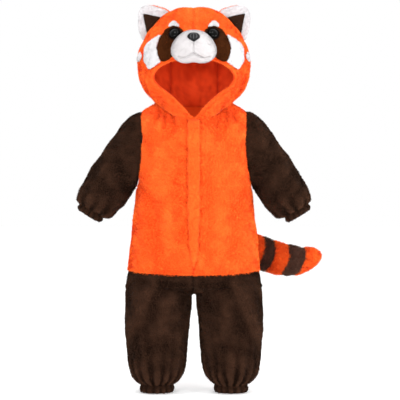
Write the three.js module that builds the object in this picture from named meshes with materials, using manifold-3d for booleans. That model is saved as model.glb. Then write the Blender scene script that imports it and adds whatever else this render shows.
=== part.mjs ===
// A child's hooded plush costume in the form of a red panda, filled out as if worn.
// Millimetres, +Z up. The front faces -Y and the wearer's left is +X.
// The origin is between the shoulders, level with the bottom of the hood, where the wearer carries the suit.

import * as THREE from 'three';
import Module from 'manifold-3d';

const wasm = await Module();
wasm.setup();

// Driving sizes of the cloth
const PLUSH = 4;            // backing and pile together
const LINING = 1.5;         // thin knitted lining of the hood
const SEAM = 0.3;           // space left between two pieces where they are sewn
const LINING_EASE = 1.3;    // the lining hangs this far inside the hood
const PATCH = 2.6;          // height of an applied patch over the cloth it lies on
const PILE_RISE = 1.2;      // how far the turned hood edge stands over the hood
const TRIANGLE = 1.6;       // height of the dark triangle over the ear it lies on

// How finely the rounds are drawn
const BODY_STEPS = 36;      // points round the bodice and hips
const SLEEVE_GATHERS = 10;
const SLEEVE_STEPS = SLEEVE_GATHERS * 3;
const LEG_GATHERS = 16;
const LEG_STEPS = LEG_GATHERS * 2;
const CUFF_GATHERS = 14;
const CUFF_STEPS = CUFF_GATHERS * 2;
const TAIL_STEPS = 16;
const EAR_STEPS = 16;
const OUTLINE_STEPS = 16;   // points on a patch's outline
const SPOT_STEPS = 10;      // points on the outline of a brow or a side spot
const NOSE_STEPS = 12;
const MUZZLE_STEPS = 20;
const BUTTON_STEPS = 12;
const BIG = 1000;           // longer than the suit, for cutting blocks

// A table is a list of rows with named columns.
function table(columns, rows) {
  return rows.map((row) => Object.fromEntries(columns.map((name, index) => [name, row[index]])));
}

// Level sections of the bodice, from the neck seam down to the hip seam.
// Each ring may dip: its height is given at the sides, at the front centre and at the back centre.
const RING_COLUMNS = ['halfWidth', 'front', 'back', 'square', 'sideZ', 'frontZ', 'backZ'];
const BODICE = table(RING_COLUMNS, [
  [84, 72, 62, 2.0, 11, -29, 9],
  [105, 83, 77, 2.1, 1, -42, -6],
  [121, 91, 89, 2.3, -14, -62, -32],
  [128, 94, 95, 2.45, -45, -88, -66],
  [131, 96, 98, 2.5, -95, -125, -110],
  [129.5, 98, 98, 2.5, -178, -190, -185],
  [133, 99, 98, 2.5, -225, -232, -228],
  [138.5, 100, 99, 2.5, -275, -283, -278],
  [145.5, 98, 101, 2.5, -355, -363, -358],
]);

// The hips of the trousers, from the hip seam to the rounded fork between the legs.
const HIPS = table(RING_COLUMNS, [
  [145.8, 98, 101, 2.5, -355.3, -363.3, -358.3],
  [149.5, 95, 98, 2.5, -382, -385, -384],
  [145, 86, 89, 2.5, -397, -397, -397],
  [60, 44, 46, 2.2, -409, -409, -409],
]);
const FORK_FLOOR = -409;

// One leg from inside the hips to the ankle: how far its sides are from the middle of the suit.
const LEG_COLUMNS = ['height', 'inner', 'outer', 'front', 'back', 'square', 'gather'];
const LEG = table(LEG_COLUMNS, [
  [-372, 5, 141, 78, 81, 2.7, 0],
  [-398, 1.5, 150.3, 87.5, 90.5, 2.7, 0],
  [-420, 2.8, 151.8, 85, 88, 2.6, 0],
  [-455, 6.5, 152.6, 80, 83, 2.45, 0],
  [-489, 9.5, 152.2, 78, 81, 2.4, 0],
  [-523, 12.7, 150.2, 76, 78, 2.3, 0.6],
  [-558, 16.5, 147, 72, 74, 2.25, 1.6],
  [-582, 22.5, 140.5, 64, 66, 2.2, 3],
  [-597, 31, 132, 54, 56, 2.1, 3.6],
  [-606, 41, 121, 41, 43, 2.0, 2.6],
  [-609, 45.5, 117.5, 35, 37, 2.0, 1.6],
]);
const ANKLE_CUFF = table(LEG_COLUMNS, [
  [-609.3, 45, 118, 36, 38, 2.0, 1.2],
  [-616, 43, 120.5, 38, 40, 2.0, 1.8],
  [-624, 45.5, 118, 36, 38, 2.0, 1.4],
]);

// One sleeve: each section joins a point on the outer line of the arm to one on the inner line.
const SLEEVE_COLUMNS = ['outerX', 'outerZ', 'innerX', 'innerZ', 'depth', 'square', 'gather'];
const SLEEVE = table(SLEEVE_COLUMNS, [
  [92, -5, 100, -172, 56, 2.1, 0],
  [125, -8.5, 127, -180, 58.5, 2.15, 0],
  [150, -27, 133, -187, 60, 2.2, 0],
  [177, -61, 141, -198, 61, 2.2, 0],
  [217, -118, 154.5, -215.5, 62, 2.2, 0],
  [243, -160, 167, -229, 60, 2.15, 0.8],
  [255, -190, 177, -239, 54, 2.1, 2],
  [256.5, -204, 186, -243.5, 45, 2.05, 3.2],
  [253.5, -209, 195, -242.5, 34, 2.0, 2.4],
  [252, -211, 199, -241.5, 30.5, 2.0, 1.4],
]);
const WRIST_CUFF = table(SLEEVE_COLUMNS, [
  [252.1, -211.4, 199.1, -241.9, 31, 2.0, 1],
  [256, -217.5, 201.5, -249.2, 33, 2.0, 1.7],
  [255, -224.3, 208, -252.5, 30, 2.0, 1.2],
]);

// Level sections of the hood, from the neck seam up to the crown.
const HOOD = table(RING_COLUMNS, [
  [84, 72, 62, 2.0, 11.3, -28.7, 9.3],
  [101, 86, 80, 2.0, 25, -3, 29],
  [114.5, 99, 98, 2.05, 46, 30, 52],
  [122.5, 109, 108, 2.1, 70, 62, 76],
  [126, 115, 113, 2.1, 97, 95, 100],
  [123.5, 115, 112, 2.1, 117, 117, 118],
  [115.5, 109, 106, 2.1, 140, 141, 141],
  [100, 95, 95, 2.05, 168, 168, 168],
  [84, 79, 82, 2.0, 187, 186.5, 186.5],
  [68, 62, 66, 2.0, 203.5, 201.5, 201.5],
  [49, 44, 48, 2.0, 215.5, 212, 212],
  [24, 21, 23, 2.0, 222, 217.5, 217.5],
]);
const CROWN = 218.5;        // the seam over the head lies a little lower than the cloth on each side
const HOOD_ANGLES = [0, 5, 15, 27, 41, 57, 74, 90];   // degrees from the seam, close together near it
const LINING_ANGLES = [0, 16, 36, 62, 90];
const LINING_SEAM = 56;     // the lining's two seams are this far from the middle
const LINING_FRONT_FOOT = 60;   // in front, the lining's centre panel stops at this height

// The largest folds, seen from the front: each runs straight between two points of the cloth.
// A facing of 1 is the front of the suit and -1 the back; a rise below 0 is a trough.
const FOLD_COLUMNS = ['facing', 'fromX', 'fromZ', 'toX', 'toZ', 'width', 'rise'];
const BODICE_FOLDS = table(FOLD_COLUMNS, [
  [1, 62, -8, 54, -70, 12, -4],
  [1, -60, -8, -55, -62, 12, -4],
  [1, 96, -190, 78, -330, 20, -2.5],
  [1, -92, -205, -70, -345, 22, -3],
  [1, 34, -120, 30, -330, 15, -2],
  [1, -34, -150, -30, -335, 15, -2],
  [-1, 40, -20, 50, -150, 18, -3],
  [-1, -44, -20, -50, -140, 18, -3],
  [-1, -100, -236, -20, -262, 15, -3.5],
  [-1, 96, -214, 30, -240, 15, -3],
]);
const LEG_FOLDS = table(FOLD_COLUMNS, [
  [1, 92, -380, 136, -486, 13, 3.5],
  [1, 66, -384, 108, -480, 15, -3],
  [1, 12, -386, 70, -386, 9, -2.5],
  [1, 60, -520, 116, -532, 13, -2.5],
  [-1, 40, -468, 128, -482, 14, -3.5],
  [-1, 100, -392, 134, -440, 13, 3],
  [-1, 58, -512, 120, -502, 12, -2.5],
]);
const SLEEVE_FOLDS = table(FOLD_COLUMNS, [
  [1, 142, -176, 168, -118, 13, -3.5],
  [1, 176, -196, 214, -150, 13, -2.5],
  [-1, 140, -172, 172, -124, 13, -3.5],
  [-1, 182, -206, 226, -160, 13, -3],
]);

// Outlines seen from the front, as points of the wearer's left half: distance from the middle, height.
const FACE_OPENING = [
  [0, 92], [25, 92], [47, 89.5], [64, 83], [80, 73], [87.5, 60], [81, 46.5], [58, 28.5], [36, 10.5],
  [17, -8], [6.4, -20.7], [0, -23.5],
];
const EDGE_BAND = [
  [0, 96], [25, 96], [48, 94], [67, 89], [86, 82], [103, 72], [109, 56], [103, 36], [90, 10],
  [60, -40], [0, -60],
];
const PLACKET = [
  [13, -10], [13, -120], [12.8, -205], [11.5, -275], [7, -328], [0, -349],
];

// Closed outlines of the patches on the wearer's left of the hood.
const BROW = [[32, 169], [36, 179], [44, 184], [51, 181], [54, 172], [46, 171]];
const EYE_PATCH = [
  [24, 158], [34, 168], [47, 171], [60, 163], [71, 150], [78.5, 130], [77, 110], [69, 92.5], [50, 98],
  [40, 110], [30, 130],
];
const CHEEK = [
  [71, 151], [90, 143], [104, 131], [109, 112], [107, 94], [94, 78], [78, 88], [70, 93], [78, 112],
  [79, 131],
];

// The side spot's outline is seen from the wearer's left: distance behind the middle, height.
const SIDE_SPOT = [[-16, 108], [-22, 116], [-36, 119], [-48, 114], [-50, 106], [-40, 100], [-24, 100]];
const EAR = [
  [50, 206], [60, 218], [76, 224], [99, 229], [115, 225.5], [124, 213], [126, 191], [121.5, 166], [110, 146],
  [80, 160],
];
const EAR_TRIANGLE = [[74, 199], [112, 207], [103, 163]];
const NOSE = [
  [0, 127], [8, 131.5], [13.5, 139], [10, 145], [0, 146.5], [-10, 145], [-13.5, 139], [-8, 131.5],
];
const MUZZLE_OUTLINE = [
  [0, 36], [20, 33], [37, 20], [48, 0], [47, -18], [35, -31], [15, -35.5], [0, -34],
  [-15, -35.5], [-35, -31], [-47, -18], [-48, 0], [-37, 20], [-20, 33],
];

// The stuffed muzzle, from inside the hood to its front.
const MUZZLE = table(['y', 'wide', 'tall', 'centreZ'], [
  [-86, 0.9, 0.8, 126],
  [-112, 0.96, 0.85, 125],
  [-128, 1.0, 0.97, 121],
  [-142, 0.97, 1.0, 119],
  [-153, 0.85, 0.88, 120],
  [-161, 0.6, 0.62, 122],
  [-165.5, 0.28, 0.3, 124],
]);

// The ear's two halves swell from a flat seam.
const EAR_PLANE = 11;       // the seam between front and back of the ear, behind the middle of the hood
const EAR_MIDDLE = [94, 186];
const EAR_TRIANGLE_BACK = 7;    // the triangle stops this far behind the middle of the hood
const EAR_SWELL = table(['size', 'rise'], [
  [1, 0],
  [0.98, 4],
  [0.88, 7.5],
  [0.5, 9],
]);

const EYE = { x: 41, y: -97, z: 152, radius: 9.8, tipBack: -28, turnOut: 24 };
const EYE_DOME = table(['size', 'rise'], [
  [1, -6],
  [1, 1],
  [0.87, 3.5],
  [0.5, 5.8],
  [0.15, 6.5],
]);
const NOSE_FRONT = -171;
const NOSE_ROOT = -150;

// The tail's middle line and half thickness; a band ends at each row named in TAIL_BANDS.
const TAIL = table(['x', 'y', 'z', 'radius', 'heading'], [
  [20, 86, -292, 28, 78],
  [30, 118, -297, 34, 58],
  [52, 136, -303, 37, 25],
  [84, 144, -309, 39, 2],
  [115, 143, -315, 40, -8],
  [149, 136, -323, 40, -14],
  [173.5, 129, -331, 39.5, -16],
  [205, 119, -339, 38, -17],
  [241, 108, -343, 33, -17],
  [265, 101, -340, 26, -17],
  [281, 97, -336, 15, -17],
  [287, 95, -334, 6, -17],
]);
const TAIL_LEAN = 12;       // degrees that the bands lean out from square
const TAIL_STEPS_A_ROW = 2;
const TAIL_BANDS = [
  { name: 'tail_root', from: 0, to: 3, colour: 'orange' },
  { name: 'tail_ring_1', from: 3, to: 4, colour: 'tailBrown' },
  { name: 'tail_band_1', from: 4, to: 5, colour: 'orange' },
  { name: 'tail_ring_2', from: 5, to: 6, colour: 'tailBrown' },
  { name: 'tail_band_2', from: 6, to: 7, colour: 'orange' },
  { name: 'tail_ring_3', from: 7, to: 8, colour: 'tailBrown' },
  { name: 'tail_tip', from: 8, to: 11, colour: 'orange' },
];

// Finishes
const FINISH = {
  orange: { color: 0xf4622a, roughness: 0.95, metalness: 0 },
  darkBrown: { color: 0x33211a, roughness: 0.95, metalness: 0 },
  cheekBrown: { color: 0x5a2e16, roughness: 0.95, metalness: 0 },
  tailBrown: { color: 0x4b3228, roughness: 0.95, metalness: 0 },
  white: { color: 0xf2f0ee, roughness: 0.95, metalness: 0 },
  lining: { color: 0xc22f16, roughness: 0.85, metalness: 0 },
  black: { color: 0x0c0b0b, roughness: 0.2, metalness: 0 },
};

// Solids from points

// Corners is a list of Vector3 and faces a list of corner numbers; the faces may all point in or all out.
function solidFrom(corners, faces) {
  let volume = 0;
  for (const [a, b, c] of faces) {
    volume += corners[a].dot(corners[b].clone().cross(corners[c]));
  }
  const turned = volume < 0 ? faces.map(([a, b, c]) => [a, c, b]) : faces;
  const vertProperties = new Float32Array(corners.flatMap((corner) => corner.toArray()));
  const triVerts = new Uint32Array(turned.flat());
  return new wasm.Manifold(new wasm.Mesh({ numProp: 3, vertProperties, triVerts }));
}

// Faces between two rows of corner numbers that each close on themselves.
function band(first, second) {
  return first.flatMap((a, index) => {
    const b = first[(index + 1) % first.length];
    const c = second[(index + 1) % second.length];
    const d = second[index];
    return [[a, b, c], [a, c, d]];
  });
}

// Faces from a closed row of corner numbers to one middle corner.
function fan(row, middle) {
  return row.map((corner, index) => [corner, row[(index + 1) % row.length], middle]);
}

function middleOf(points) {
  const sum = points.reduce((total, point) => total.add(point), new THREE.Vector3());
  return sum.divideScalar(points.length);
}

// A filled solid through closed rings of points, with a flat or shallow end at each end.
function filledThrough(rings) {
  const corners = rings.flat();
  const around = rings[0].length;
  const rows = rings.map((ring, level) => ring.map((point, index) => level * around + index));
  const faces = rows.slice(1).flatMap((row, level) => band(rows[level], row));
  const firstMiddle = corners.push(middleOf(rings[0])) - 1;
  const lastMiddle = corners.push(middleOf(rings[rings.length - 1])) - 1;
  faces.push(...fan([...rows[0]].reverse(), firstMiddle));
  faces.push(...fan(rows[rows.length - 1], lastMiddle));
  return solidFrom(corners, faces);
}

// A wall between outer and inner rings, open at its first end. Both faces are divided alike.
// At its last end it is open too, or closed over a pair of poles.
function wallThrough(outer, inner, poles) {
  const corners = [...outer.flat(), ...inner.flat()];
  const around = outer[0].length;
  const rowsFrom = (rings, start) => rings.map((ring, level) => {
    return ring.map((point, index) => start + level * around + index);
  });
  const outside = rowsFrom(outer, 0);
  const inside = rowsFrom(inner, outer.length * around);
  const last = outer.length - 1;
  const faces = outside.slice(1).flatMap((row, level) => band(outside[level], row));
  const insideFaces = inside.slice(1).flatMap((row, level) => band(inside[level], row));
  faces.push(...insideFaces.map(([a, b, c]) => [a, c, b]));
  faces.push(...band(inside[0], outside[0]));
  if (poles) {
    const outerPole = corners.push(poles.outer) - 1;
    const innerPole = corners.push(poles.inner) - 1;
    faces.push(...fan(outside[last], outerPole));
    faces.push(...fan([...inside[last]].reverse(), innerPole));
  } else {
    faces.push(...band(outside[last], inside[last]));
  }
  return solidFrom(corners, faces);
}

// Surfaces from tables

// A value between the rows of a table, on a smooth curve through them.
function smooth(before, start, end, after, part) {
  const bend = 2 * before - 5 * start + 4 * end - after;
  const twist = 3 * (start - end) + after - before;
  return start + 0.5 * part * (end - before + part * (bend + part * twist));
}

function rowAt(rows, place) {
  const level = Math.min(Math.max(Math.floor(place), 0), rows.length - 2);
  const part = place - level;
  const pick = (index) => rows[Math.min(Math.max(index, 0), rows.length - 1)];
  const mixed = {};
  for (const name of Object.keys(rows[0])) {
    mixed[name] = smooth(
      pick(level - 1)[name], pick(level)[name], pick(level + 1)[name], pick(level + 2)[name], part,
    );
  }
  return mixed;
}

// A rounded square wave of an oval: 2 gives an ellipse and more gives squarer shoulders.
function rounded(value, square) {
  return Math.sign(value) * Math.abs(value) ** (2 / square);
}

// Angle 0 is the front and a quarter turn is the wearer's left.
function ringPoint(row, angle) {
  const across = rounded(Math.sin(angle), row.square);
  const along = rounded(Math.cos(angle), row.square);
  const facing = Math.cos(angle) ** 2;
  const depth = along > 0 ? row.front : row.back;
  const centreZ = along > 0 ? row.frontZ : row.backZ;
  const height = row.sideZ + (centreZ - row.sideZ) * facing;
  return new THREE.Vector3(row.halfWidth * across, -depth * along, height);
}

function legPoint(row, angle) {
  const across = rounded(Math.sin(angle), row.square);
  const along = rounded(Math.cos(angle), row.square);
  const middle = (row.inner + row.outer) / 2;
  const half = (row.outer - row.inner) / 2;
  const depth = along > 0 ? row.front : row.back;
  return new THREE.Vector3(middle + half * across, -depth * along, row.height);
}

function legWay() {
  return new THREE.Vector3(0, 0, -1);
}

// Angle 0 is the outer line of the arm and a quarter turn is the back of the sleeve.
function sleevePoint(row, angle) {
  const along = rounded(Math.cos(angle), row.square) / 2;
  const x = (row.outerX + row.innerX) / 2 + (row.outerX - row.innerX) * along;
  const z = (row.outerZ + row.innerZ) / 2 + (row.outerZ - row.innerZ) * along;
  return new THREE.Vector3(x, row.depth * rounded(Math.sin(angle), row.square), z);
}

function sleeveWay(row) {
  return new THREE.Vector3(row.innerZ - row.outerZ, 0, row.outerX - row.innerX);
}

function tailPoint(row, angle) {
  const heading = THREE.MathUtils.degToRad(row.heading);
  const lean = THREE.MathUtils.degToRad(TAIL_LEAN);
  const up = new THREE.Vector3(Math.cos(heading), Math.sin(heading), 0).multiplyScalar(Math.sin(lean));
  up.z = Math.cos(lean);
  const aside = new THREE.Vector3(-Math.sin(heading), Math.cos(heading), 0);
  return new THREE.Vector3(row.x, row.y, row.z)
    .addScaledVector(up, row.radius * Math.cos(angle))
    .addScaledVector(aside, row.radius * Math.sin(angle));
}

const TURN = 2 * Math.PI;
const NUDGE = 1e-3;

// How far the folds lift a point of the cloth: all of their rise on their own line, fading with distance.
function foldRise(folds, point) {
  return folds.reduce((total, fold) => {
    if (Math.sign(point.y) === fold.facing) {
      return total;
    }
    const runX = fold.toX - fold.fromX;
    const runZ = fold.toZ - fold.fromZ;
    const part = ((point.x - fold.fromX) * runX + (point.z - fold.fromZ) * runZ) / (runX ** 2 + runZ ** 2);
    const near = THREE.MathUtils.clamp(part, 0, 1);
    const away = Math.hypot(point.x - fold.fromX - near * runX, point.z - fold.fromZ - near * runZ);
    return total + fold.rise * Math.exp(-((away / fold.width) ** 2));
  }, 0);
}

// A point of a surface, moved out along its normal. The gathers' waves and the folds move it too.
// A surface that has flat sections is moved within them, so that its ends stay flat.
function surfacePoint(surface, place, angle, out) {
  const { rows, shape, gathers, folds, sectionWay } = surface;
  const last = rows.length - 1;
  const at = (level, turn) => shape(rowAt(rows, Math.min(Math.max(level, 0), last)), turn);
  const point = at(place, angle);
  const around = at(place, angle + NUDGE).sub(at(place, angle - NUDGE));
  const along = sectionWay
    ? sectionWay(rowAt(rows, place))
    : at(place + NUDGE, angle).sub(at(place - NUDGE, angle));
  const normal = around.cross(along).normalize();
  const middle = point.clone().add(at(place, angle + Math.PI)).multiplyScalar(0.5);
  if (normal.dot(point.clone().sub(middle)) < 0) {
    normal.negate();
  }
  const wave = gathers ? rowAt(rows, place).gather * Math.cos(gathers * angle) : 0;
  const rise = folds ? foldRise(folds, point) : 0;
  return point.addScaledVector(normal, out + wave + rise);
}

function evenAngles(count) {
  return Array.from({ length: count }, (unused, index) => index * TURN / count);
}

// Angles in all four quarters, from a quarter's list in degrees.
function quarteredAngles(degrees) {
  const first = degrees.map(THREE.MathUtils.degToRad);
  const back = [...first].reverse().slice(1).map((angle) => Math.PI - angle);
  const half = [...first, ...back];
  const other = [...half].reverse().slice(1, -1).map((angle) => TURN - angle);
  return [...half, ...other];
}

// Rings of a surface between two places in its table, with some steps between the rows.
function ringsOf(surface, out, from = 0, to = surface.rows.length - 1, steps = 1) {
  const count = Math.round((to - from) * steps);
  return Array.from({ length: count + 1 }, (unused, index) => {
    const place = from + (to - from) * index / count;
    return surface.angles.map((angle) => surfacePoint(surface, place, angle, out));
  });
}

function wallOf(surface, outer, inner) {
  return wallThrough(ringsOf(surface, outer), ringsOf(surface, inner));
}

// A filled solid of a surface, lengthened straight out at an end by the vector given for it.
function filledOf(surface, out, startShift, endShift) {
  const rings = ringsOf(surface, out);
  if (startShift) {
    rings.unshift(rings[0].map((point) => point.clone().add(startShift)));
  }
  if (endShift) {
    rings.push(rings[rings.length - 1].map((point) => point.clone().add(endShift)));
  }
  return filledThrough(rings);
}

function block(low, high) {
  const size = high.map((value, axis) => value - low[axis]);
  const box = new THREE.BoxGeometry(...size);
  box.translate(...low.map((value, axis) => value + size[axis] / 2));
  return fromGeometry(box);
}

// Joins the corners of a three.js geometry that lie on each other.
function fromGeometry(geometry) {
  const position = geometry.attributes.position;
  const numbers = new Map();
  const corners = [];
  const numberOf = (index) => {
    const corner = new THREE.Vector3().fromBufferAttribute(position, index);
    const key = corner.toArray().map((value) => value.toFixed(4)).join();
    if (!numbers.has(key)) {
      numbers.set(key, corners.push(corner) - 1);
    }
    return numbers.get(key);
  };
  const order = geometry.index ? [...geometry.index.array] : [...Array(position.count).keys()];
  const faces = [];
  for (let start = 0; start < order.length; start += 3) {
    faces.push([numberOf(order[start]), numberOf(order[start + 1]), numberOf(order[start + 2])]);
  }
  return solidFrom(corners, faces);
}

// A block with an outline in the front view, from one depth to another.
function frontPrism(outline, nearY, farY) {
  const shape = new THREE.Shape(outline.map(([x, z]) => new THREE.Vector2(x, z)));
  const geometry = new THREE.ExtrudeGeometry(shape, { depth: farY - nearY, bevelEnabled: false });
  geometry.rotateX(Math.PI / 2);
  geometry.translate(0, farY, 0);
  return fromGeometry(geometry);
}

// A block with an outline in the view from the wearer's left, on that side of the suit.
function sidePrism(outline) {
  const shape = new THREE.Shape(outline.map(([y, z]) => new THREE.Vector2(y, z)));
  const geometry = new THREE.ExtrudeGeometry(shape, { depth: BIG, bevelEnabled: false });
  geometry.rotateX(Math.PI / 2);
  geometry.rotateZ(Math.PI / 2);
  return fromGeometry(geometry);
}

// A smooth closed outline through its points.
function smoothOutline(points, steps = OUTLINE_STEPS) {
  const corners = points.map(([x, z]) => new THREE.Vector3(x, z, 0));
  const curve = new THREE.CatmullRomCurve3(corners, true, 'centripetal');
  return curve.getSpacedPoints(steps).slice(0, -1).map((point) => [point.x, point.y]);
}

function mirrored(outline) {
  return outline.map(([x, z]) => [-x, z]).reverse();
}

// A whole outline from its left half, which starts and ends in the middle.
function wholeOutline(half) {
  return [...half, ...mirrored(half).filter(([x]) => x !== 0)];
}

// An outline moved out by the same distance all round.
function grown(outline, distance) {
  const count = outline.length;
  const area = outline.reduce((sum, [x, z], index) => {
    const [nextX, nextZ] = outline[(index + 1) % count];
    return sum + x * nextZ - nextX * z;
  }, 0);
  const sign = area > 0 ? 1 : -1;
  return outline.map(([x, z], index) => {
    const before = outline[(index + count - 1) % count];
    const after = outline[(index + 1) % count];
    const step = sign * distance / Math.hypot(after[0] - before[0], after[1] - before[1]);
    return [x + step * (after[1] - before[1]), z - step * (after[0] - before[0])];
  });
}

// A solid's twin on the other side of the suit.
function mirrorX(solid) {
  const { vertProperties, triVerts } = solid.getMesh();
  const corners = [];
  for (let start = 0; start < vertProperties.length; start += 3) {
    const [x, y, z] = vertProperties.slice(start, start + 3);
    corners.push(new THREE.Vector3(-x, y, z));
  }
  const faces = [];
  for (let start = 0; start < triVerts.length; start += 3) {
    faces.push([triVerts[start], triVerts[start + 1], triVerts[start + 2]]);
  }
  return solidFrom(corners, faces);
}

const leftHalf = block([SEAM / 2, -BIG, -BIG], [BIG, BIG, BIG]);
const rightHalf = mirrorX(leftHalf);
const frontHalf = block([-BIG, -BIG, -BIG], [BIG, -SEAM / 2, BIG]);
const backHalf = block([-BIG, SEAM / 2, -BIG], [BIG, BIG, BIG]);

// The group that is handed on
const costume = new THREE.Group();

function addPiece(name, solid, finish) {
  const mesh = solid.getMesh();
  const geometry = new THREE.BufferGeometry();
  geometry.setAttribute('position', new THREE.BufferAttribute(new Float32Array(mesh.vertProperties), 3));
  geometry.setIndex([...mesh.triVerts]);
  geometry.computeVertexNormals();
  const piece = new THREE.Mesh(geometry, new THREE.MeshStandardMaterial(FINISH[finish]));
  piece.name = name;
  costume.add(piece);
}

function addPair(name, leftSolid, finish) {
  addPiece(`${name}_left`, leftSolid, finish);
  addPiece(`${name}_right`, mirrorX(leftSolid), finish);
}

// Sleeves and cuffs
const arm = { shape: sleevePoint, sectionWay: sleeveWay };
const sleeve = {
  ...arm,
  rows: SLEEVE,
  gathers: SLEEVE_GATHERS,
  folds: SLEEVE_FOLDS,
  angles: evenAngles(SLEEVE_STEPS),
};
const wristCuff = { ...arm, rows: WRIST_CUFF, gathers: CUFF_GATHERS, angles: evenAngles(CUFF_STEPS) };
const bodice = { rows: BODICE, shape: ringPoint, folds: BODICE_FOLDS, angles: evenAngles(BODY_STEPS) };
const bodiceCutter = filledOf(bodice, SEAM);
const sleeveCutter = filledOf(sleeve, SEAM);

addPair('sleeve', wallOf(sleeve, 0, -PLUSH).subtract(bodiceCutter), 'darkBrown');
addPair('wrist_cuff', wallOf(wristCuff, 0, -PLUSH), 'darkBrown');

// Bodice, with the armholes where the sleeves go in
const bodiceWall = wallOf(bodice, 0, -PLUSH).subtract(sleeveCutter).subtract(mirrorX(sleeveCutter));
const bodiceFront = bodiceWall.intersect(frontHalf);
addPiece('front_left', bodiceFront.intersect(leftHalf), 'orange');
addPiece('front_right', bodiceFront.intersect(rightHalf), 'orange');
addPiece('back', bodiceWall.intersect(backHalf), 'orange');

// Trousers: hips and two legs in one wall, cut at the middle and at the side seams
const hips = { rows: HIPS, shape: ringPoint, angles: evenAngles(BODY_STEPS) };
const limb = { shape: legPoint, sectionWay: legWay };
const leg = { ...limb, rows: LEG, gathers: LEG_GATHERS, folds: LEG_FOLDS, angles: evenAngles(LEG_STEPS) };
const ankleCuff = { ...limb, rows: ANKLE_CUFF, gathers: CUFF_GATHERS, angles: evenAngles(CUFF_STEPS) };
const legOutside = filledOf(leg, 0);
const legInside = filledOf(leg, -PLUSH, null, new THREE.Vector3(0, 0, -PLUSH));
const hipsFloor = block([-BIG, -BIG, FORK_FLOOR + PLUSH], [BIG, BIG, BIG]);
const hipsInside = filledOf(hips, -PLUSH, new THREE.Vector3(0, 0, 2 * PLUSH)).intersect(hipsFloor);
const trousers = filledOf(hips, 0)
  .add(legOutside)
  .add(mirrorX(legOutside))
  .subtract(hipsInside)
  .subtract(legInside)
  .subtract(mirrorX(legInside));
addPair('leg_front', trousers.intersect(frontHalf).intersect(leftHalf), 'darkBrown');
addPair('leg_back', trousers.intersect(backHalf).intersect(leftHalf), 'darkBrown');
addPair('ankle_cuff', wallOf(ankleCuff, 0, -PLUSH), 'darkBrown');

// Hood
const hood = { rows: HOOD, shape: ringPoint, angles: quarteredAngles(HOOD_ANGLES) };
const liningRows = HOOD.filter((row, level) => level % 2 === 0 || level === HOOD.length - 1);
const liningHood = { ...hood, rows: liningRows, angles: quarteredAngles(LINING_ANGLES) };

function hoodWall(surface, outer, inner) {
  const pole = (out) => new THREE.Vector3(0, 0, CROWN + out);
  const poles = { outer: pole(outer), inner: pole(inner) };
  return wallThrough(ringsOf(surface, outer), ringsOf(surface, inner), poles);
}

function hoodFilled(out) {
  return filledThrough([...ringsOf(hood, out), hood.angles.map((angle) => {
    return new THREE.Vector3(Math.sin(angle), -Math.cos(angle), CROWN + out);
  })]);
}

const opening = wholeOutline(FACE_OPENING);
const openingPrism = frontPrism(opening, -BIG, -SEAM);
const liningPrism = frontPrism(grown(opening, SEAM), -BIG, -SEAM);
const edgeBand = wholeOutline(EDGE_BAND);
const edgePrism = frontPrism(edgeBand, -BIG, -SEAM);
const edgeCutter = frontPrism(grown(edgeBand, SEAM), -BIG, -SEAM);
const hoodShell = hoodWall(hood, 0, -PLUSH).subtract(edgeCutter);
addPair('hood', hoodShell.intersect(leftHalf), 'orange');
const edgeShell = hoodWall(hood, PILE_RISE, -PLUSH).intersect(edgePrism).subtract(openingPrism);
addPair('hood_edge', edgeShell.intersect(leftHalf).subtract(bodiceCutter), 'orange');

// The placket runs from under the hood's V down over the opening of the fronts
const placketPrism = frontPrism([...PLACKET, ...mirrored(PLACKET).slice(1)], -BIG, -SEAM);
const placketWall = wallOf(bodice, SEAM + PATCH, SEAM).subtract(hoodFilled(PILE_RISE + SEAM));
addPiece('placket', placketWall.intersect(placketPrism), 'orange');

// The hood's lining
const liningOut = -PLUSH - LINING_EASE;
const liningShell = hoodWall(liningHood, liningOut, liningOut - LINING).subtract(liningPrism);

// The centre panel runs up from the nape and over the head; below the face the two sides meet at the V.
function liningMiddle(gap) {
  const half = LINING_SEAM + gap;
  const belowFace = block([-BIG, -BIG, -BIG], [BIG, -gap, LINING_FRONT_FOOT - gap]);
  return block([-half, -BIG, -BIG], [half, BIG, BIG]).subtract(belowFace);
}
addPiece('hood_lining_centre', liningShell.intersect(liningMiddle(0)), 'lining');
addPair('hood_lining', liningShell.subtract(liningMiddle(SEAM)).intersect(leftHalf), 'lining');

// Patches on the hood, each cut back where its neighbour lies over it
const patchShell = hoodWall(hood, SEAM + PATCH, SEAM).subtract(edgeCutter);
const frontPatch = (outline) => patchShell.intersect(frontPrism(outline, -BIG, -SEAM));
const browOutline = smoothOutline(BROW, SPOT_STEPS);
const eyePatchOutline = smoothOutline(EYE_PATCH);
const cheekOutline = smoothOutline(CHEEK);
const browCutter = frontPrism(grown(browOutline, SEAM), -BIG, -SEAM);
const eyePatchCutter = frontPrism(grown(eyePatchOutline, SEAM), -BIG, -SEAM);

// Muzzle: its outline grown and shrunk through the rows of its table
const muzzleOutline = smoothOutline(MUZZLE_OUTLINE, MUZZLE_STEPS);

function muzzleRings(out) {
  return MUZZLE.map((row) => grown(muzzleOutline, out).map(([x, z]) => {
    return new THREE.Vector3(x * row.wide, row.y - out, row.centreZ + z * row.tall);
  }));
}

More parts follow.
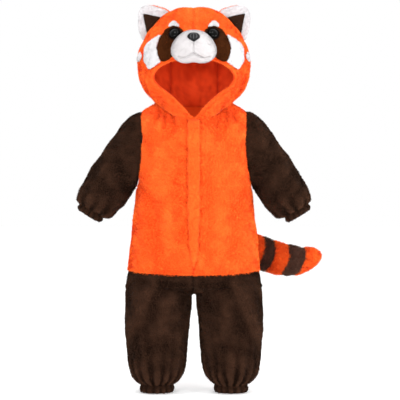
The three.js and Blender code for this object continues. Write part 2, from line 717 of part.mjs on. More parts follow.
const patchTop = hoodFilled(2 * SEAM + PATCH);
const edgeTop = hoodFilled(PILE_RISE + SEAM).intersect(edgeCutter);
const muzzle = filledThrough(muzzleRings(0)).subtract(patchTop).subtract(edgeTop);
const muzzleCutter = filledThrough(muzzleRings(SEAM));
addPair('brow', frontPatch(browOutline), 'white');
addPair('eye_patch', frontPatch(eyePatchOutline).subtract(browCutter), 'cheekBrown');
addPair('cheek', frontPatch(cheekOutline).subtract(eyePatchCutter), 'white');
addPair('side_spot', patchShell.intersect(sidePrism(smoothOutline(SIDE_SPOT, SPOT_STEPS))), 'white');
addPiece('muzzle', muzzle, 'white');
const noseBlock = frontPrism(smoothOutline(NOSE, NOSE_STEPS), NOSE_FRONT, NOSE_ROOT);
addPiece('nose', noseBlock.subtract(muzzleCutter), 'black');

// Eyes: low domes that stand on the eye patches
const tipBack = THREE.MathUtils.degToRad(EYE.tipBack);
const turnOut = THREE.MathUtils.degToRad(EYE.turnOut);
const eyeTurn = new THREE.Euler(tipBack, 0, turnOut, 'ZXY');
const eyeRings = EYE_DOME.map(({ size, rise }) => evenAngles(BUTTON_STEPS).map((angle) => {
  const radius = EYE.radius * size;
  return new THREE.Vector3(radius * Math.cos(angle), -rise, radius * Math.sin(angle))
    .applyEuler(eyeTurn)
    .add(new THREE.Vector3(EYE.x, EYE.y, EYE.z));
}));
addPair('eye', filledThrough(eyeRings).subtract(patchTop).subtract(muzzleCutter), 'black');

// Ears: two swelling halves sewn at the rim, with a dark triangle on the front
const earOutline = smoothOutline(EAR, EAR_STEPS);

function earHalf(out, facing) {
  const [middleX, middleZ] = EAR_MIDDLE;
  const rings = EAR_SWELL.map((row) => grown(earOutline, out).map(([x, z]) => new THREE.Vector3(
    middleX + (x - middleX) * row.size,
    EAR_PLANE + facing * (SEAM / 2 + row.rise + (row.rise > 0 ? out : 0)),
    middleZ + (z - middleZ) * row.size,
  )));
  return filledThrough(rings);
}

const hoodCutter = hoodFilled(SEAM);
addPair('ear_front', earHalf(0, -1).subtract(hoodCutter), 'white');
addPair('ear_back', earHalf(0, 1).subtract(hoodCutter), 'orange');
const triangleBlock = frontPrism(EAR_TRIANGLE, -BIG, EAR_TRIANGLE_BACK);
const triangle = earHalf(SEAM + TRIANGLE, -1)
  .subtract(earHalf(SEAM, -1))
  .intersect(triangleBlock)
  .subtract(hoodCutter);
addPair('ear_inner', triangle, 'darkBrown');

// Tail: stuffed bands end to end, its root cut to the back of the bodice
const tail = { rows: TAIL, shape: tailPoint, angles: evenAngles(TAIL_STEPS) };
for (const { name, from, to, colour } of TAIL_BANDS) {
  const rings = ringsOf(tail, 0, from, to, TAIL_STEPS_A_ROW);
  const along = middleOf(rings[1]).sub(middleOf(rings[0])).normalize();
  if (from > 0) {
    rings[0] = rings[0].map((point) => point.clone().addScaledVector(along, SEAM));
  }
  addPiece(name, filledThrough(rings).subtract(bodiceCutter), colour);
}

export default costume;
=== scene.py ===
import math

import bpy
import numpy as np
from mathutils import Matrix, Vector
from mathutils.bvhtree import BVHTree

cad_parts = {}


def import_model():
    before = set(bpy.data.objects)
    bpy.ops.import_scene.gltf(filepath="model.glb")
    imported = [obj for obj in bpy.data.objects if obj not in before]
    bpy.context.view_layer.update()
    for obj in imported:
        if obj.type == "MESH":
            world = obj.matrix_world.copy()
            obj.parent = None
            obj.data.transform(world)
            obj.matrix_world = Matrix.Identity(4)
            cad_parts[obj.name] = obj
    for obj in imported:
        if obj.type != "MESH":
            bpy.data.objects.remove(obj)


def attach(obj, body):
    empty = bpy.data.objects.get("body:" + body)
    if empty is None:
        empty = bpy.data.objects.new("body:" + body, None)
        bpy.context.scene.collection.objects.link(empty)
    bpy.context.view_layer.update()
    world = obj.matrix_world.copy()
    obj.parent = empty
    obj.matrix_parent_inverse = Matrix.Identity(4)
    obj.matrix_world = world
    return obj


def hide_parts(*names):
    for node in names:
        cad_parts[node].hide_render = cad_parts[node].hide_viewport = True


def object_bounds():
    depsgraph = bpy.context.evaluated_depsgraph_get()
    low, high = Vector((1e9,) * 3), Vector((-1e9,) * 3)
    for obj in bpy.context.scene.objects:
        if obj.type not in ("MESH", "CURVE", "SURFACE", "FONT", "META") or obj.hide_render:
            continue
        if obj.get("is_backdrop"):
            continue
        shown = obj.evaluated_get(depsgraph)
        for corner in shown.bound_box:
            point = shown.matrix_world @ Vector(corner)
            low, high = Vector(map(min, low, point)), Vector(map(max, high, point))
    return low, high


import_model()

# %% [markdown]
# # A child's red panda costume
# The real thing is one hooded suit cut from plush: orange for the body and hood, dark brown for
# the sleeves and legs, white and brown patches for the face, and a stuffed tail with rings.
# Here it is filled out as if worn. Each cut piece becomes a thin shell with its own pile on top,
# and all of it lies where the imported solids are. One draped simulation could make the whole suit,
# but its seams would wander, so each piece is placed by its sizes. The tables below are in
# millimetres; the one function that makes meshes turns them into metres.

SOLIDS_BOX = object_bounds()
MM = 0.001
print("box of the solids:", SOLIDS_BOX)

# %% [markdown]
# ## The cloth's own sizes
# Plush is a knitted ground with short fibres standing on it. The ground is modelled as a real
# wall and the fibres as thousands of small pointed blades, because the soft outline and the
# speckled light of plush come from the fibres themselves, and a bump map has neither.

# %% Thicknesses
PLUSH = 4.0             # ground and pile together
GROUND = 1.0            # the knitted ground alone
PILE = PLUSH - GROUND
SEAM = 0.3              # space between two pieces at their seam
PATCH = 2.6             # height of an applied patch
PATCH_PILE = 1.8
TURNED_RISE = 1.2       # the hood's turned edge stands this far over the hood
LINING_OUT = -5.3       # the lining hangs inside the hood
LINING = 1.2
BIG_GRID = 4.5          # size of the cells of a large piece
FINE_GRID = 2.2         # size of the cells of a narrow piece
FORM_GRID = 6           # size of the cells of a form that is only measured against
SIDES = (("left", 1), ("right", -1))
print("plush", PLUSH, "mm, of which pile", PILE, "mm")

# %% [markdown]
# ## The garment's tables
# A garment like this is drawn from sections, as a dressmaker's form is. Each row is one level
# section and a smooth curve runs through the rows. The shapes could be sculpted instead, but these
# are the sizes that the solids have, so the cloth follows them without any fitting.

# %% Sections: half width, front, back, squareness, height at the side, front and back
BODICE = np.array([
    [84, 72, 62, 2.0, 11, -29, 9],
    [105, 83, 77, 2.1, 1, -42, -6],
    [121, 91, 89, 2.3, -14, -62, -32],
    [128, 94, 95, 2.45, -45, -88, -66],
    [131, 96, 98, 2.5, -95, -125, -110],
    [129.5, 98, 98, 2.5, -178, -190, -185],
    [133, 99, 98, 2.5, -225, -232, -228],
    [138.5, 100, 99, 2.5, -275, -283, -278],
    [145.5, 98, 101, 2.5, -355, -363, -358],
])
HIPS = np.array([
    [145.8, 98, 101, 2.5, -355.3, -363.3, -358.3],
    [149.5, 95, 98, 2.5, -382, -385, -384],
    [145, 86, 89, 2.5, -397, -397, -397],
    [60, 44, 46, 2.2, -409, -409, -409],
    [1, 1, 1, 2.0, -409.5, -409.5, -409.5],
])
HOOD = np.array([
    [84, 72, 62, 2.0, 11.3, -28.7, 9.3],
    [101, 86, 80, 2.0, 25, -3, 29],
    [114.5, 99, 98, 2.05, 46, 30, 52],
    [122.5, 109, 108, 2.1, 70, 62, 76],
    [126, 115, 113, 2.1, 97, 95, 100],
    [123.5, 115, 112, 2.1, 117, 117, 118],
    [115.5, 109, 106, 2.1, 140, 141, 141],
    [100, 95, 95, 2.05, 168, 168, 168],
    [84, 79, 82, 2.0, 187, 186.5, 186.5],
    [68, 62, 66, 2.0, 203.5, 201.5, 201.5],
    [49, 44, 48, 2.0, 215.5, 212, 212],
    [24, 21, 23, 2.0, 222, 217.5, 217.5],
    [1, 1, 1, 2.0, 218.5, 218.5, 218.5],
])

# %% Limbs. Leg: height, inner, outer, front, back, squareness, depth of the gathers
LEG = np.array([
    [-372, 5, 141, 78, 81, 2.7, 0],
    [-398, 1.5, 150.3, 87.5, 90.5, 2.7, 0],
    [-420, 2.8, 151.8, 85, 88, 2.6, 0],
    [-455, 6.5, 152.6, 80, 83, 2.45, 0],
    [-489, 9.5, 152.2, 78, 81, 2.4, 0],
    [-523, 12.7, 150.2, 76, 78, 2.3, 0.6],
    [-558, 16.5, 147, 72, 74, 2.25, 1.6],
    [-582, 22.5, 140.5, 64, 66, 2.2, 3],
    [-597, 31, 132, 54, 56, 2.1, 3.6],
    [-606, 41, 121, 41, 43, 2.0, 2.6],
    [-609, 45.5, 117.5, 35, 37, 2.0, 1.6],
])
ANKLE_CUFF = np.array([
    [-609.3, 45, 118, 36, 38, 2.0, 1.2],
    [-616, 43, 120.5, 38, 40, 2.0, 1.8],
    [-624, 45.5, 118, 36, 38, 2.0, 1.4],
])
# Sleeve: a point on the arm's outer line, one on its inner line, depth, squareness, gathers
SLEEVE = np.array([
    [92, -5, 100, -172, 56, 2.1, 0],
    [125, -8.5, 127, -180, 58.5, 2.15, 0],
    [150, -27, 133, -187, 60, 2.2, 0],
    [177, -61, 141, -198, 61, 2.2, 0],
    [217, -118, 154.5, -215.5, 62, 2.2, 0],
    [243, -160, 167, -229, 60, 2.15, 0.8],
    [255, -190, 177, -239, 54, 2.1, 2],
    [256.5, -204, 186, -243.5, 45, 2.05, 3.2],
    [253.5, -209, 195, -242.5, 34, 2.0, 2.4],
    [252, -211, 199, -241.5, 30.5, 2.0, 1.4],
])
WRIST_CUFF = np.array([
    [252.1, -211.4, 199.1, -241.9, 31, 2.0, 1],
    [256, -217.5, 201.5, -249.2, 33, 2.0, 1.7],
    [255, -224.3, 208, -252.5, 30, 2.0, 1.2],
])
# Tail: the middle line, half thickness and heading in degrees
TAIL = np.array([
    [20, 86, -292, 28, 78],
    [30, 118, -297, 34, 58],
    [52, 136, -303, 37, 25],
    [84, 144, -309, 39, 2],
    [115, 143, -315, 40, -8],
    [149, 136, -323, 40, -14],
    [173.5, 129, -331, 39.5, -16],
    [205, 119, -339, 38, -17],
    [241, 108, -343, 33, -17],
    [265, 101, -340, 26, -17],
    [281, 97, -336, 15, -17],
    [287, 95, -334, 6, -17],
])
TAIL_LEAN = math.radians(12)
SLEEVE_GATHERS = 10
LEG_GATHERS = 16
CUFF_GATHERS = 14

# %% Outlines seen from the front: distance from the middle, height
FACE_OPENING = [
    (0, 92), (25, 92), (47, 89.5), (64, 83), (80, 73), (87.5, 60), (81, 46.5), (58, 28.5),
    (36, 10.5), (17, -8), (6.4, -20.7), (0, -23.5),
]
EDGE_BAND = [
    (0, 96), (25, 96), (48, 94), (67, 89), (86, 82), (103, 72), (109, 56), (103, 36), (90, 10),
    (60, -40), (0, -60),
]
PLACKET = [(13, -10), (13, -120), (12.8, -205), (11.5, -275), (7, -328), (0, -349)]
BROW = [(32, 169), (36, 179), (44, 184), (51, 181), (54, 172), (46, 171)]
EYE_PATCH = [
    (24, 158), (34, 168), (47, 171), (60, 163), (71, 150), (78.5, 130), (77, 110), (69, 92.5),
    (50, 98), (40, 110), (30, 130),
]
CHEEK = [
    (71, 151), (90, 143), (104, 131), (109, 112), (107, 94), (94, 78), (78, 88), (70, 93),
    (78, 112), (79, 131),
]
SIDE_SPOT = [(-16, 108), (-22, 116), (-36, 119), (-48, 114), (-50, 106), (-40, 100), (-24, 100)]
EAR = [
    (50, 206), (60, 218), (76, 224), (99, 229), (115, 225.5), (124, 213), (126, 191),
    (121.5, 166), (110, 146), (80, 160),
]
EAR_TRIANGLE = [
    (74, 199), (80, 201), (94, 204.5), (107, 207), (112, 207), (111, 201), (107.5, 185), (104.5, 169),
    (103, 163), (98, 168), (88, 182), (78, 194),
]
NOSE = [
    (0, 127), (7, 130.5), (12.6, 135.5), (12.8, 140), (8, 145), (0, 146.5), (-8, 145), (-12.8, 140),
    (-12.6, 135.5), (-7, 130.5),
]
MUZZLE_OUTLINE = [
    (0, 36), (20, 33), (37, 20), (48, 0), (47, -18), (35, -31), (15, -35.5), (0, -34),
    (-15, -35.5), (-35, -31), (-47, -18), (-48, 0), (-37, 20), (-20, 33),
]
# Muzzle rows: distance in front, width and height of the outline, height of its middle
MUZZLE = np.array([
    [-86, 0.9, 0.8, 126],
    [-112, 0.96, 0.85, 125],
    [-128, 1.0, 0.97, 121],
    [-142, 0.97, 1.0, 119],
    [-153, 0.85, 0.88, 120],
    [-161, 0.6, 0.62, 122],
    [-165.5, 0.28, 0.3, 124],
    [-166.3, 0.02, 0.02, 124],
])
print("tables:", len(BODICE), "bodice rows,", len(HOOD), "hood rows,", len(TAIL), "tail rows")

# %% [markdown]
# ## Folds
# Cloth that is filled out still shows where it was sewn and bent. Each fold is a soft trough or
# ridge along a straight run between two points in the front view. A simulation would give other
# folds on every size of suit, so they are listed one by one: their places, lengths and depths are
# uneven, as on the real one, and similar ones lie on the back, where nothing shows them.

# %% Folds: facing (1 front, -1 back), from across and up, to across and up, width, rise
BODICE_FOLDS = [
    (1, 62, -8, 54, -70, 12, -4), (1, -60, -8, -55, -62, 12, -4),
    (1, 96, -190, 78, -330, 20, -2.5), (1, -92, -205, -70, -345, 22, -3),
    (1, 34, -120, 30, -330, 15, -2), (1, -34, -150, -30, -335, 15, -2),
    (-1, 40, -20, 50, -150, 18, -3), (-1, -44, -20, -50, -140, 18, -3),
    (-1, -100, -236, -20, -262, 15, -3.5), (-1, 96, -214, 30, -240, 15, -3),
]
LEG_FOLDS = [
    (1, 92, -380, 136, -486, 13, 3.5), (1, 66, -384, 108, -480, 15, -3),
    (1, 12, -386, 70, -386, 9, -2.5), (1, 60, -520, 116, -532, 13, -2.5),
    (-1, 40, -468, 128, -482, 14, -3.5), (-1, 100, -392, 134, -440, 13, 3),
    (-1, 58, -512, 120, -502, 12, -2.5),
]
SLEEVE_FOLDS = [
    (1, 142, -176, 168, -118, 13, -3.5), (1, 176, -196, 214, -150, 13, -2.5),
    (-1, 140, -172, 172, -124, 13, -3.5), (-1, 182, -206, 226, -160, 13, -3),
]
# The smaller creases that only the cloth has
BODICE_CREASES = [
    (1, -74, -4, -82, -34, 6, -3.8), (1, -62, -8, -66, -42, 5.5, -4.6), (1, -48, -13, -46, -50, 6, -4.4),
    (1, -45, -20, -38, -46, 5, -2), (1, -55, -8, -57, -30, 4.5, 1.6), (1, -68, -6, -74, -40, 4.5, 1.4),
    (1, 58, -6, 50, -38, 6, -4.4), (1, 72, -2, 71, -40, 5.5, -4.6), (1, 85, 2, 91, -28, 6, -3.6),
    (1, 50, -16, 30, -36, 4.5, -2), (1, 65, -4, 61, -34, 4.5, 1.4), (1, 36, -24, 60, -44, 5, -1.8),
    (1, 22, -34, 52, -58, 6, -1.6), (1, -22, -34, -44, -54, 6, -1.6),
    (1, -15, -92, -34, -80, 4.5, -2.2), (1, -15, -122, -40, -112, 5, -2.4),
    (1, -15, -150, -32, -146, 4, -2), (1, -15, -176, -44, -164, 5, -2.4),
    (1, -15, -206, -34, -196, 4.5, -2), (1, -15, -244, -30, -236, 5, -1.6),
    (1, 16, -110, 34, -104, 5, -1.6), (1, 16, -168, 40, -156, 5.5, -1.8),
    (1, 16, -226, 32, -214, 5, -1.8), (1, 15, -282, 34, -262, 6, -1.6),
    (1, -13, -300, -26, -270, 6, -1.8), (1, 0, -345, 0, -365, 4, -3),
    (1, 112, -70, 96, -110, 8, -2), (1, -112, -66, -98, -104, 8, -2),
    (1, 118, -180, 92, -214, 9, -2.2), (1, -118, -176, -94, -206, 9, -2.2),
    (1, 60, -230, 66, -300, 12, 1.5), (1, -58, -240, -62, -318, 12, 1.6),
    (-1, -62, 8, -60, -34, 5, -2.6), (-1, 58, 8, 62, -30, 5, -2.6), (-1, -30, 6, -26, -40, 5, -2),
    (-1, 26, 6, 30, -38, 5, -2.2), (-1, 0, 6, 2, -60, 6, -1.8),
    (-1, 112, -80, 90, -120, 8, -2.2), (-1, -112, -84, -92, -120, 8, -2.2),
    (-1, -70, -290, 10, -306, 10, -2), (-1, 80, -300, 110, -340, 10, -2),
    (-1, -92, -262, -96, -340, 12, 1.6), (-1, 20, -180, 70, -176, 12, -1.8),
]
SLEEVE_CREASES = [
    (1, 128, -40, 150, -60, 6, -1.8), (1, 130, -96, 150, -100, 6, -1.8),
    (1, 134, -150, 156, -142, 5, -2.4), (1, 196, -130, 226, -170, 8, 1.6),
    (1, 168, -80, 190, -116, 9, -1.4), (1, 214, -196, 236, -168, 7, -1.8),
    (-1, 130, -50, 152, -70, 6, -1.8), (-1, 134, -110, 158, -112, 6, -2),
    (-1, 180, -100, 214, -140, 9, -1.8), (-1, 196, -210, 230, -186, 7, -2),
]
LEG_CREASES = [
    (1, 20, -378, 34, -440, 9, -1.8), (1, 30, -470, 70, -500, 9, -1.8),
    (1, 126, -500, 140, -560, 9, -1.8), (1, 44, -540, 60, -580, 7, -1.6),
    (1, 97, -388, 141, -490, 4, 1.6), (1, 70, -372, 106, -372, 6, -2.0), (1, 6, -400, 26, -430, 6, -2),
    (1, 136, -400, 148, -430, 6, -1.8), (1, 74, -420, 62, -500, 12, 1.4),
    (-1, 24, -380, 50, -440, 9, -2.2), (-1, 110, -500, 138, -560, 9, -2),
    (-1, 20, -540, 60, -556, 8, -2), (-1, 70, -430, 66, -466, 9, 1.6),
]
HOOD_CREASES = [
    (1, 60, -6, 84, 30, 7, -1.8), (1, -58, -8, -86, 26, 7, -1.8),
    (1, 96, 20, 112, 52, 7, -1.6), (1, -98, 18, -113, 48, 7, -1.6),
    (-1, 0, 14, 0, 60, 9, -2.4), (-1, 46, 16, 60, 70, 10, -2.6), (-1, -50, 16, -58, 74, 10, -2.6),
    (-1, 84, 20, 92, 60, 8, -2), (-1, -86, 20, -90, 62, 8, -2), (-1, 30, 120, 80, 96, 14, -1.8),
    (-1, -34, 110, -84, 84, 14, -1.8), (1, 40, 190, 70, 176, 12, -1.2), (1, -40, 190, -70, 176, 12, -1.2),
]
print("folds:", sum(map(len, [BODICE_FOLDS, LEG_FOLDS, SLEEVE_FOLDS, BODICE_CREASES, SLEEVE_CREASES,
                              LEG_CREASES, HOOD_CREASES])))

# %% [markdown]
# ## Surfaces from the tables
# A surface is a table and a rule that turns one of its rows and an angle into a point. Sampling
# it evenly gives a grid of cloth. It could be drawn as subdivision cages instead, but then
# neighbours would not share their seam lines exactly.

# %% Rows between the rows, and the rules
def rows_at(table, places):
    """Rows of a table on a smooth curve through its rows."""
    places = np.clip(places, 0, len(table) - 1)
    level = np.minimum(places.astype(int), len(table) - 2)
    part = (places - level)[:, None]
    before, start, end, after = (
        table[np.clip(level + shift, 0, len(table) - 1)] for shift in (-1, 0, 1, 2)
    )
    bend = 2 * before - 5 * start + 4 * end - after
    twist = 3 * (start - end) + after - before
    return start + 0.5 * part * (end - before + part * (bend + part * twist))


def rounded(value, square):
    return np.sign(value) * np.abs(value) ** (2 / square)


def ring_point(row, angle):
    """Angle 0 is the front and a quarter turn the wearer's left."""
    half, front, back, square, side_z, front_z, back_z = row.T
    across, along = rounded(np.sin(angle), square), rounded(np.cos(angle), square)
    depth = np.where(along > 0, front, back)
    middle_z = np.where(along > 0, front_z, back_z)
    height = side_z + (middle_z - side_z) * np.cos(angle) ** 2
    return np.stack([half * across, -depth * along, height], -1)


def leg_point(row, angle):
    height, inner, outer, front, back, square, _ = row.T
    across, along = rounded(np.sin(angle), square), rounded(np.cos(angle), square)
    depth = np.where(along > 0, front, back)
    return np.stack([(inner + outer + (outer - inner) * across) / 2, -depth * along, height], -1)


def sleeve_point(row, angle):
    """Angle 0 is the arm's outer line and a quarter turn the back of the sleeve."""
    outer_x, outer_z, inner_x, inner_z, depth, square, _ = row.T
    along = rounded(np.cos(angle), square)
    x = (outer_x + inner_x + (outer_x - inner_x) * along) / 2
    z = (outer_z + inner_z + (outer_z - inner_z) * along) / 2
    return np.stack([x, depth * rounded(np.sin(angle), square), z], -1)


def tail_point(row, angle):
    x, y, z, radius, heading = row.T
    heading = np.radians(heading)
    lean = math.sin(TAIL_LEAN)
    up = np.stack([lean * np.cos(heading), lean * np.sin(heading),
                   np.full_like(x, math.cos(TAIL_LEAN))], -1)
    aside = np.stack([-np.sin(heading), np.cos(heading), 0 * x], -1)
    centre = np.stack([x, y, z], -1)
    return centre + radius[:, None] * (np.cos(angle)[:, None] * up + np.sin(angle)[:, None] * aside)


waist_front = ring_point(rows_at(BODICE, np.array([5.0])), np.zeros(1))
print("middle of the waist in front:", waist_front.round(1).tolist())


# %% Smooth outlines
CURVE_STEPS = 24        # points between two corners of an outline


def unit(vectors):
    return vectors / np.maximum(np.linalg.norm(vectors, axis=-1, keepdims=True), 1e-9)


def fading(away, width):
    """1 on a line, fading away softly over about that width."""
    return np.exp(-(away / width) ** 2)


def mean_run(lines):
    """Length along a line up to each of its points, as the mean of several lines."""
    lengths = np.mean([np.linalg.norm(np.diff(line, axis=0), axis=1) for line in lines], axis=0)
    return np.concatenate([[0], np.cumsum(lengths)])


def smooth_outline(corners, steps=120):
    """A smooth closed outline through its corners, with evenly spaced points."""
    corners = np.asarray(corners, float)
    before, start = np.roll(corners, 1, 0), corners
    end, after = np.roll(corners, -1, 0), np.roll(corners, -2, 0)
    gaps = [np.linalg.norm(b - a, axis=1)[:, None] ** 0.5
            for a, b in ((before, start), (start, end), (end, after))]
    leave = (start - before) / gaps[0] - (end - before) / (gaps[0] + gaps[1]) + (end - start) / gaps[1]
    arrive = (end - start) / gaps[1] - (after - start) / (gaps[1] + gaps[2]) + (after - end) / gaps[2]
    leave, arrive = leave * gaps[1], arrive * gaps[1]
    part = np.linspace(0, 1, CURVE_STEPS, endpoint=False)[None, :, None]
    start, end, leave, arrive = (value[:, None] for value in (start, end, leave, arrive))
    curve = (
        start + part * leave + part ** 2 * (3 * (end - start) - 2 * leave - arrive)
        + part ** 3 * (2 * (start - end) + leave + arrive)
    ).reshape(-1, 2)
    return evenly(np.vstack([curve, curve[:1]]), steps + 1)[:-1]


def evenly(line, count):
    """The same line with points an equal distance apart."""
    run = mean_run([line])
    places = np.linspace(0, run[-1], count)
    return np.stack([np.interp(places, run, column) for column in line.T], -1)


def mirrored_outline(half):
    """A whole outline from its left half, which starts and ends in the middle."""
    return list(half) + [(-x, z) for x, z in reversed(half) if x != 0]


def inside_by(outline, across, up):
    """How far points are inside a closed outline, with what is outside below 0."""
    outline = np.asarray(outline, float)
    ends = np.roll(outline, -1, 0)
    runs = ends - outline
    points = np.stack([across, up], -1)[:, None]
    part = ((points - outline) * runs).sum(-1) / np.maximum((runs ** 2).sum(-1), 1e-9)
    nearest = outline + np.clip(part, 0, 1)[..., None] * runs
    away = np.linalg.norm(points - nearest, axis=-1).min(1)
    spans = (outline[:, 1] > points[..., 1]) != (ends[:, 1] > points[..., 1])
    rise = np.where(np.abs(runs[:, 1]) < 1e-9, 1e-9, runs[:, 1])
    crossing = outline[:, 0] + (points[..., 1] - outline[:, 1]) * runs[:, 0] / rise
    within = (spans & (points[..., 0] < crossing)).sum(1) % 2 == 1
    return np.where(within, away, -away)


print("round the nose:", round(float(mean_run([smooth_outline(NOSE)])[-1]), 1), "mm")

# %% [markdown]
# ## Cloth
# A piece of cloth is a triangle grid. Every point knows the way out of the cloth, the way its
# nap lies and how far it is from the nearest cut edge, so that edges can be rounded and fibres
# combed. Pieces are cut by trimming the grid along any line where a measured distance is 0.
# Boolean modifiers would do it too, but not on an open sheet, and they lose those facts.

# %% Triangles of a grid
NUDGE, TINY, FAR = 1e-3, 1e-6, 1e3
RAY_START = -500.0      # mm: rays that find the face start this far in front


def crosses(points, faces):
    """Two sides of each triangle multiplied: the way out of it, twice its area long."""
    corners = points[faces]
    return np.cross(corners[:, 1] - corners[:, 0], corners[:, 2] - corners[:, 0])


def areas(points, faces):
    return np.linalg.norm(crosses(points, faces), axis=1) / 2


def facing_out(points, faces, way):
    """The faces, turned over if they look against the way out."""
    return faces[:, ::-1] if (crosses(points, faces) * way[faces[:, 0]]).sum() < 0 else faces


def edges_of(faces):
    return np.concatenate([faces[:, [0, 1]], faces[:, [1, 2]], faces[:, [2, 0]]])


def grid_faces(rows, columns, closed):
    """Two triangles for each cell of a grid of numbered points."""
    number = np.arange(rows * columns).reshape(rows, columns)
    beside = np.roll(number, -1, 1) if closed else number[:, 1:]
    here = number if closed else number[:, :-1]
    a, b, c, d = here[:-1], beside[:-1], beside[1:], here[1:]
    return np.concatenate([np.stack([a, b, c], -1).reshape(-1, 3), np.stack([a, c, d], -1).reshape(-1, 3)])


print("triangles of a grid of 3 by 4 points:", len(grid_faces(3, 4, closed=False)))


# %% Cloth and the trimming of it
class Cloth:
    """Columns of data: point, way out, way of the nap, distance from a cut edge, lift, painted shade of
    the gathers.
    """

    def __init__(self, data, faces):
        self.data, self.faces = data, faces

    point = property(lambda self: self.data[:, 0:3])
    way = property(lambda self: self.data[:, 3:6])
    nap = property(lambda self: self.data[:, 6:9])
    edge = property(lambda self: self.data[:, 9])
    wave = property(lambda self: self.data[:, 10])
    gather_shade = property(lambda self: self.data[:, 11])

    def mirrored(self):
        data = self.data.copy()
        data[:, [0, 3, 6]] *= -1
        return Cloth(data, self.faces[:, ::-1])

    def on(self, side):
        """Cloth made for the left, for its own side: 1 left, -1 right."""
        return self if side > 0 else self.mirrored()


def trim(cloth, field, rounds=True):
    """Keeps the cloth where the field is above 0. Its new edge is where the field is 0."""
    field = np.where(np.abs(field) < TINY, TINY, field)
    data = cloth.data.copy()
    if rounds:
        data[:, 9] = np.minimum(data[:, 9], field)
    inside = field > 0
    count = inside[cloth.faces].sum(1)
    whole = cloth.faces[count == 3]
    one, two = cloth.faces[count == 1], cloth.faces[count == 2]
    turn = np.arange(3)
    first = inside[one].argmax(1)[:, None]
    one = np.take_along_axis(one, (first + turn) % 3, 1)
    first = (~inside[two]).argmax(1)[:, None]
    two = np.take_along_axis(two, (first + turn) % 3, 1)
    pairs = np.concatenate([one[:, [0, 1]], one[:, [0, 2]], two[:, [1, 0]], two[:, [2, 0]]])
    if len(pairs):
        ends, number = np.unique(np.sort(pairs, axis=1), axis=0, return_inverse=True)
        number = number.reshape(-1) + len(data)
        low, high = field[ends[:, 0]], field[ends[:, 1]]
        part = (low / (low - high))[:, None]
        data = np.vstack([data, data[ends[:, 0]] * (1 - part) + data[ends[:, 1]] * part])
        a, b, c, d = np.split(number, np.cumsum([len(one), len(one), len(two)]))
        faces = np.concatenate([
            whole,
            np.stack([one[:, 0], a, b], -1),
            np.stack([c, two[:, 1], two[:, 2]], -1),
            np.stack([c, two[:, 2], d], -1),
        ])
    else:
        faces = whole
    used, number = np.unique(faces, return_inverse=True)
    cut = Cloth(data[used], number.reshape(-1, 3))
    cut.data[:, 3:6] = unit(cut.way)
    return cut


# %% A grid of cloth on a surface
FINE_PLACES, FINE_ANGLES = 400, 721     # samples that a surface is measured with
RUNS, RINGS = 9, 5                      # lines down and round it that are measured
GATHER_SHADE_GAIN = 3.5                          # how much stronger the painted shade of the gathers gets towards their elastic
START_POINTS, START_NEAR = 240, 2.5     # points round a first edge, and how near it counts as it


class Surface:
    """A smooth surface through the rows of a table, and the grids of cloth on it."""

    def __init__(self, table, rule, section_way=None, gathers=0, level=0):
        self.table, self.rule = np.asarray(table, float), rule
        self.section_way, self.gathers, self.level = section_way, gathers, level
        self.last = len(self.table) - 1

    def at(self, place, angle):
        return self.rule(rows_at(self.table, np.clip(place, 0, self.last)), angle)

    def cloth(self, grid, places=None, angles=None):
        """A grid over the surface with cells of about that size; without angles it goes all round."""
        first, last = places or (0, self.last)
        closed = angles is None
        low, high = angles or (0, math.tau)
        fine_places = np.linspace(first, last, FINE_PLACES)
        fine_angles = np.linspace(low, high, FINE_ANGLES)
        down = mean_run([self.at(fine_places, np.full(FINE_PLACES, angle))
                         for angle in np.linspace(low, high, RUNS)])
        round_it = mean_run([self.at(np.full(FINE_ANGLES, place), fine_angles)
                             for place in np.linspace(first, last, RINGS)])
        rows = max(3, int(round(down[-1] / grid)) + 1)
        columns = max(8, int(round(round_it[-1] / grid))) + (0 if closed else 1)
        place = np.interp(np.linspace(0, down[-1], rows), down, fine_places)
        angle = np.interp(np.linspace(0, round_it[-1], columns, endpoint=not closed), round_it,
                          fine_angles)
        place, angle = (value.ravel() for value in np.meshgrid(place, angle, indexing="ij"))
        point = self.at(place, angle)
        around = self.at(place, angle + NUDGE) - self.at(place, angle - NUDGE)
        along = self.at(place + NUDGE, angle) - self.at(place - NUDGE, angle)
        middle = (point + self.at(place, angle + math.pi)) / 2
        way = unit(np.cross(around, along))
        way *= np.sign(((point - middle) * way).sum())
        if self.level:
            share = np.clip(place / self.level, 0, 1)
            way[:, 2] *= share * share * (3 - 2 * share)
            way = unit(way)
        wave = 0 * place
        if self.gathers:
            row = rows_at(self.table, place)
            wave = row[:, 6] * gather_wave(angle, self.gathers)
            flat = unit(np.cross(around, self.section_way(row)))
            flat *= np.sign(((point - middle) * flat).sum(1, keepdims=True))
            point = point + flat * wave[:, None]
        faces = facing_out(point, grid_faces(rows, columns, closed), way)
        edge = np.full(len(point), FAR)
        # Painted shade and light of the gathers, stronger towards their elastic; it moves no point.
        painted_gather_shade = wave * (1 + GATHER_SHADE_GAIN * (place / self.last) ** 8)
        return Cloth(np.column_stack([point, way, unit(along), edge, wave, painted_gather_shade]), faces)

    def tucked(self, grid, tuck):
        """The cloth with its first edge drawn on by that much, into the piece before it."""
        cloth = self.cloth(grid)
        turn = np.linspace(0, math.tau, START_POINTS, endpoint=False)
        start = np.arange(START_POINTS - 1)
        near = tree_of(self.at(0 * turn, turn), np.stack([start, start + 1, start], -1))
        at_start = np.array([near.find_nearest(Vector(point))[3] < START_NEAR for point in cloth.point])
        cloth.data[at_start, 0:3] -= cloth.nap[at_start] * tuck
        return cloth


# %% Gathers, and the suit's own surfaces
def gather_wave(angle, gathers):
    """Gathers round an elastic: about that many, no two alike."""
    drift = 0.55 * np.sin(2 * angle + 0.7) + 0.35 * np.sin(5 * angle + 2.1)
    strength = 1 + 0.3 * np.sin(3 * angle + 1.3) + 0.2 * np.sin(7 * angle + 0.4)
    return strength * np.cos(gathers * angle + drift)


def leg_way(row):
    return np.tile([0.0, 0.0, -1.0], (len(row), 1))


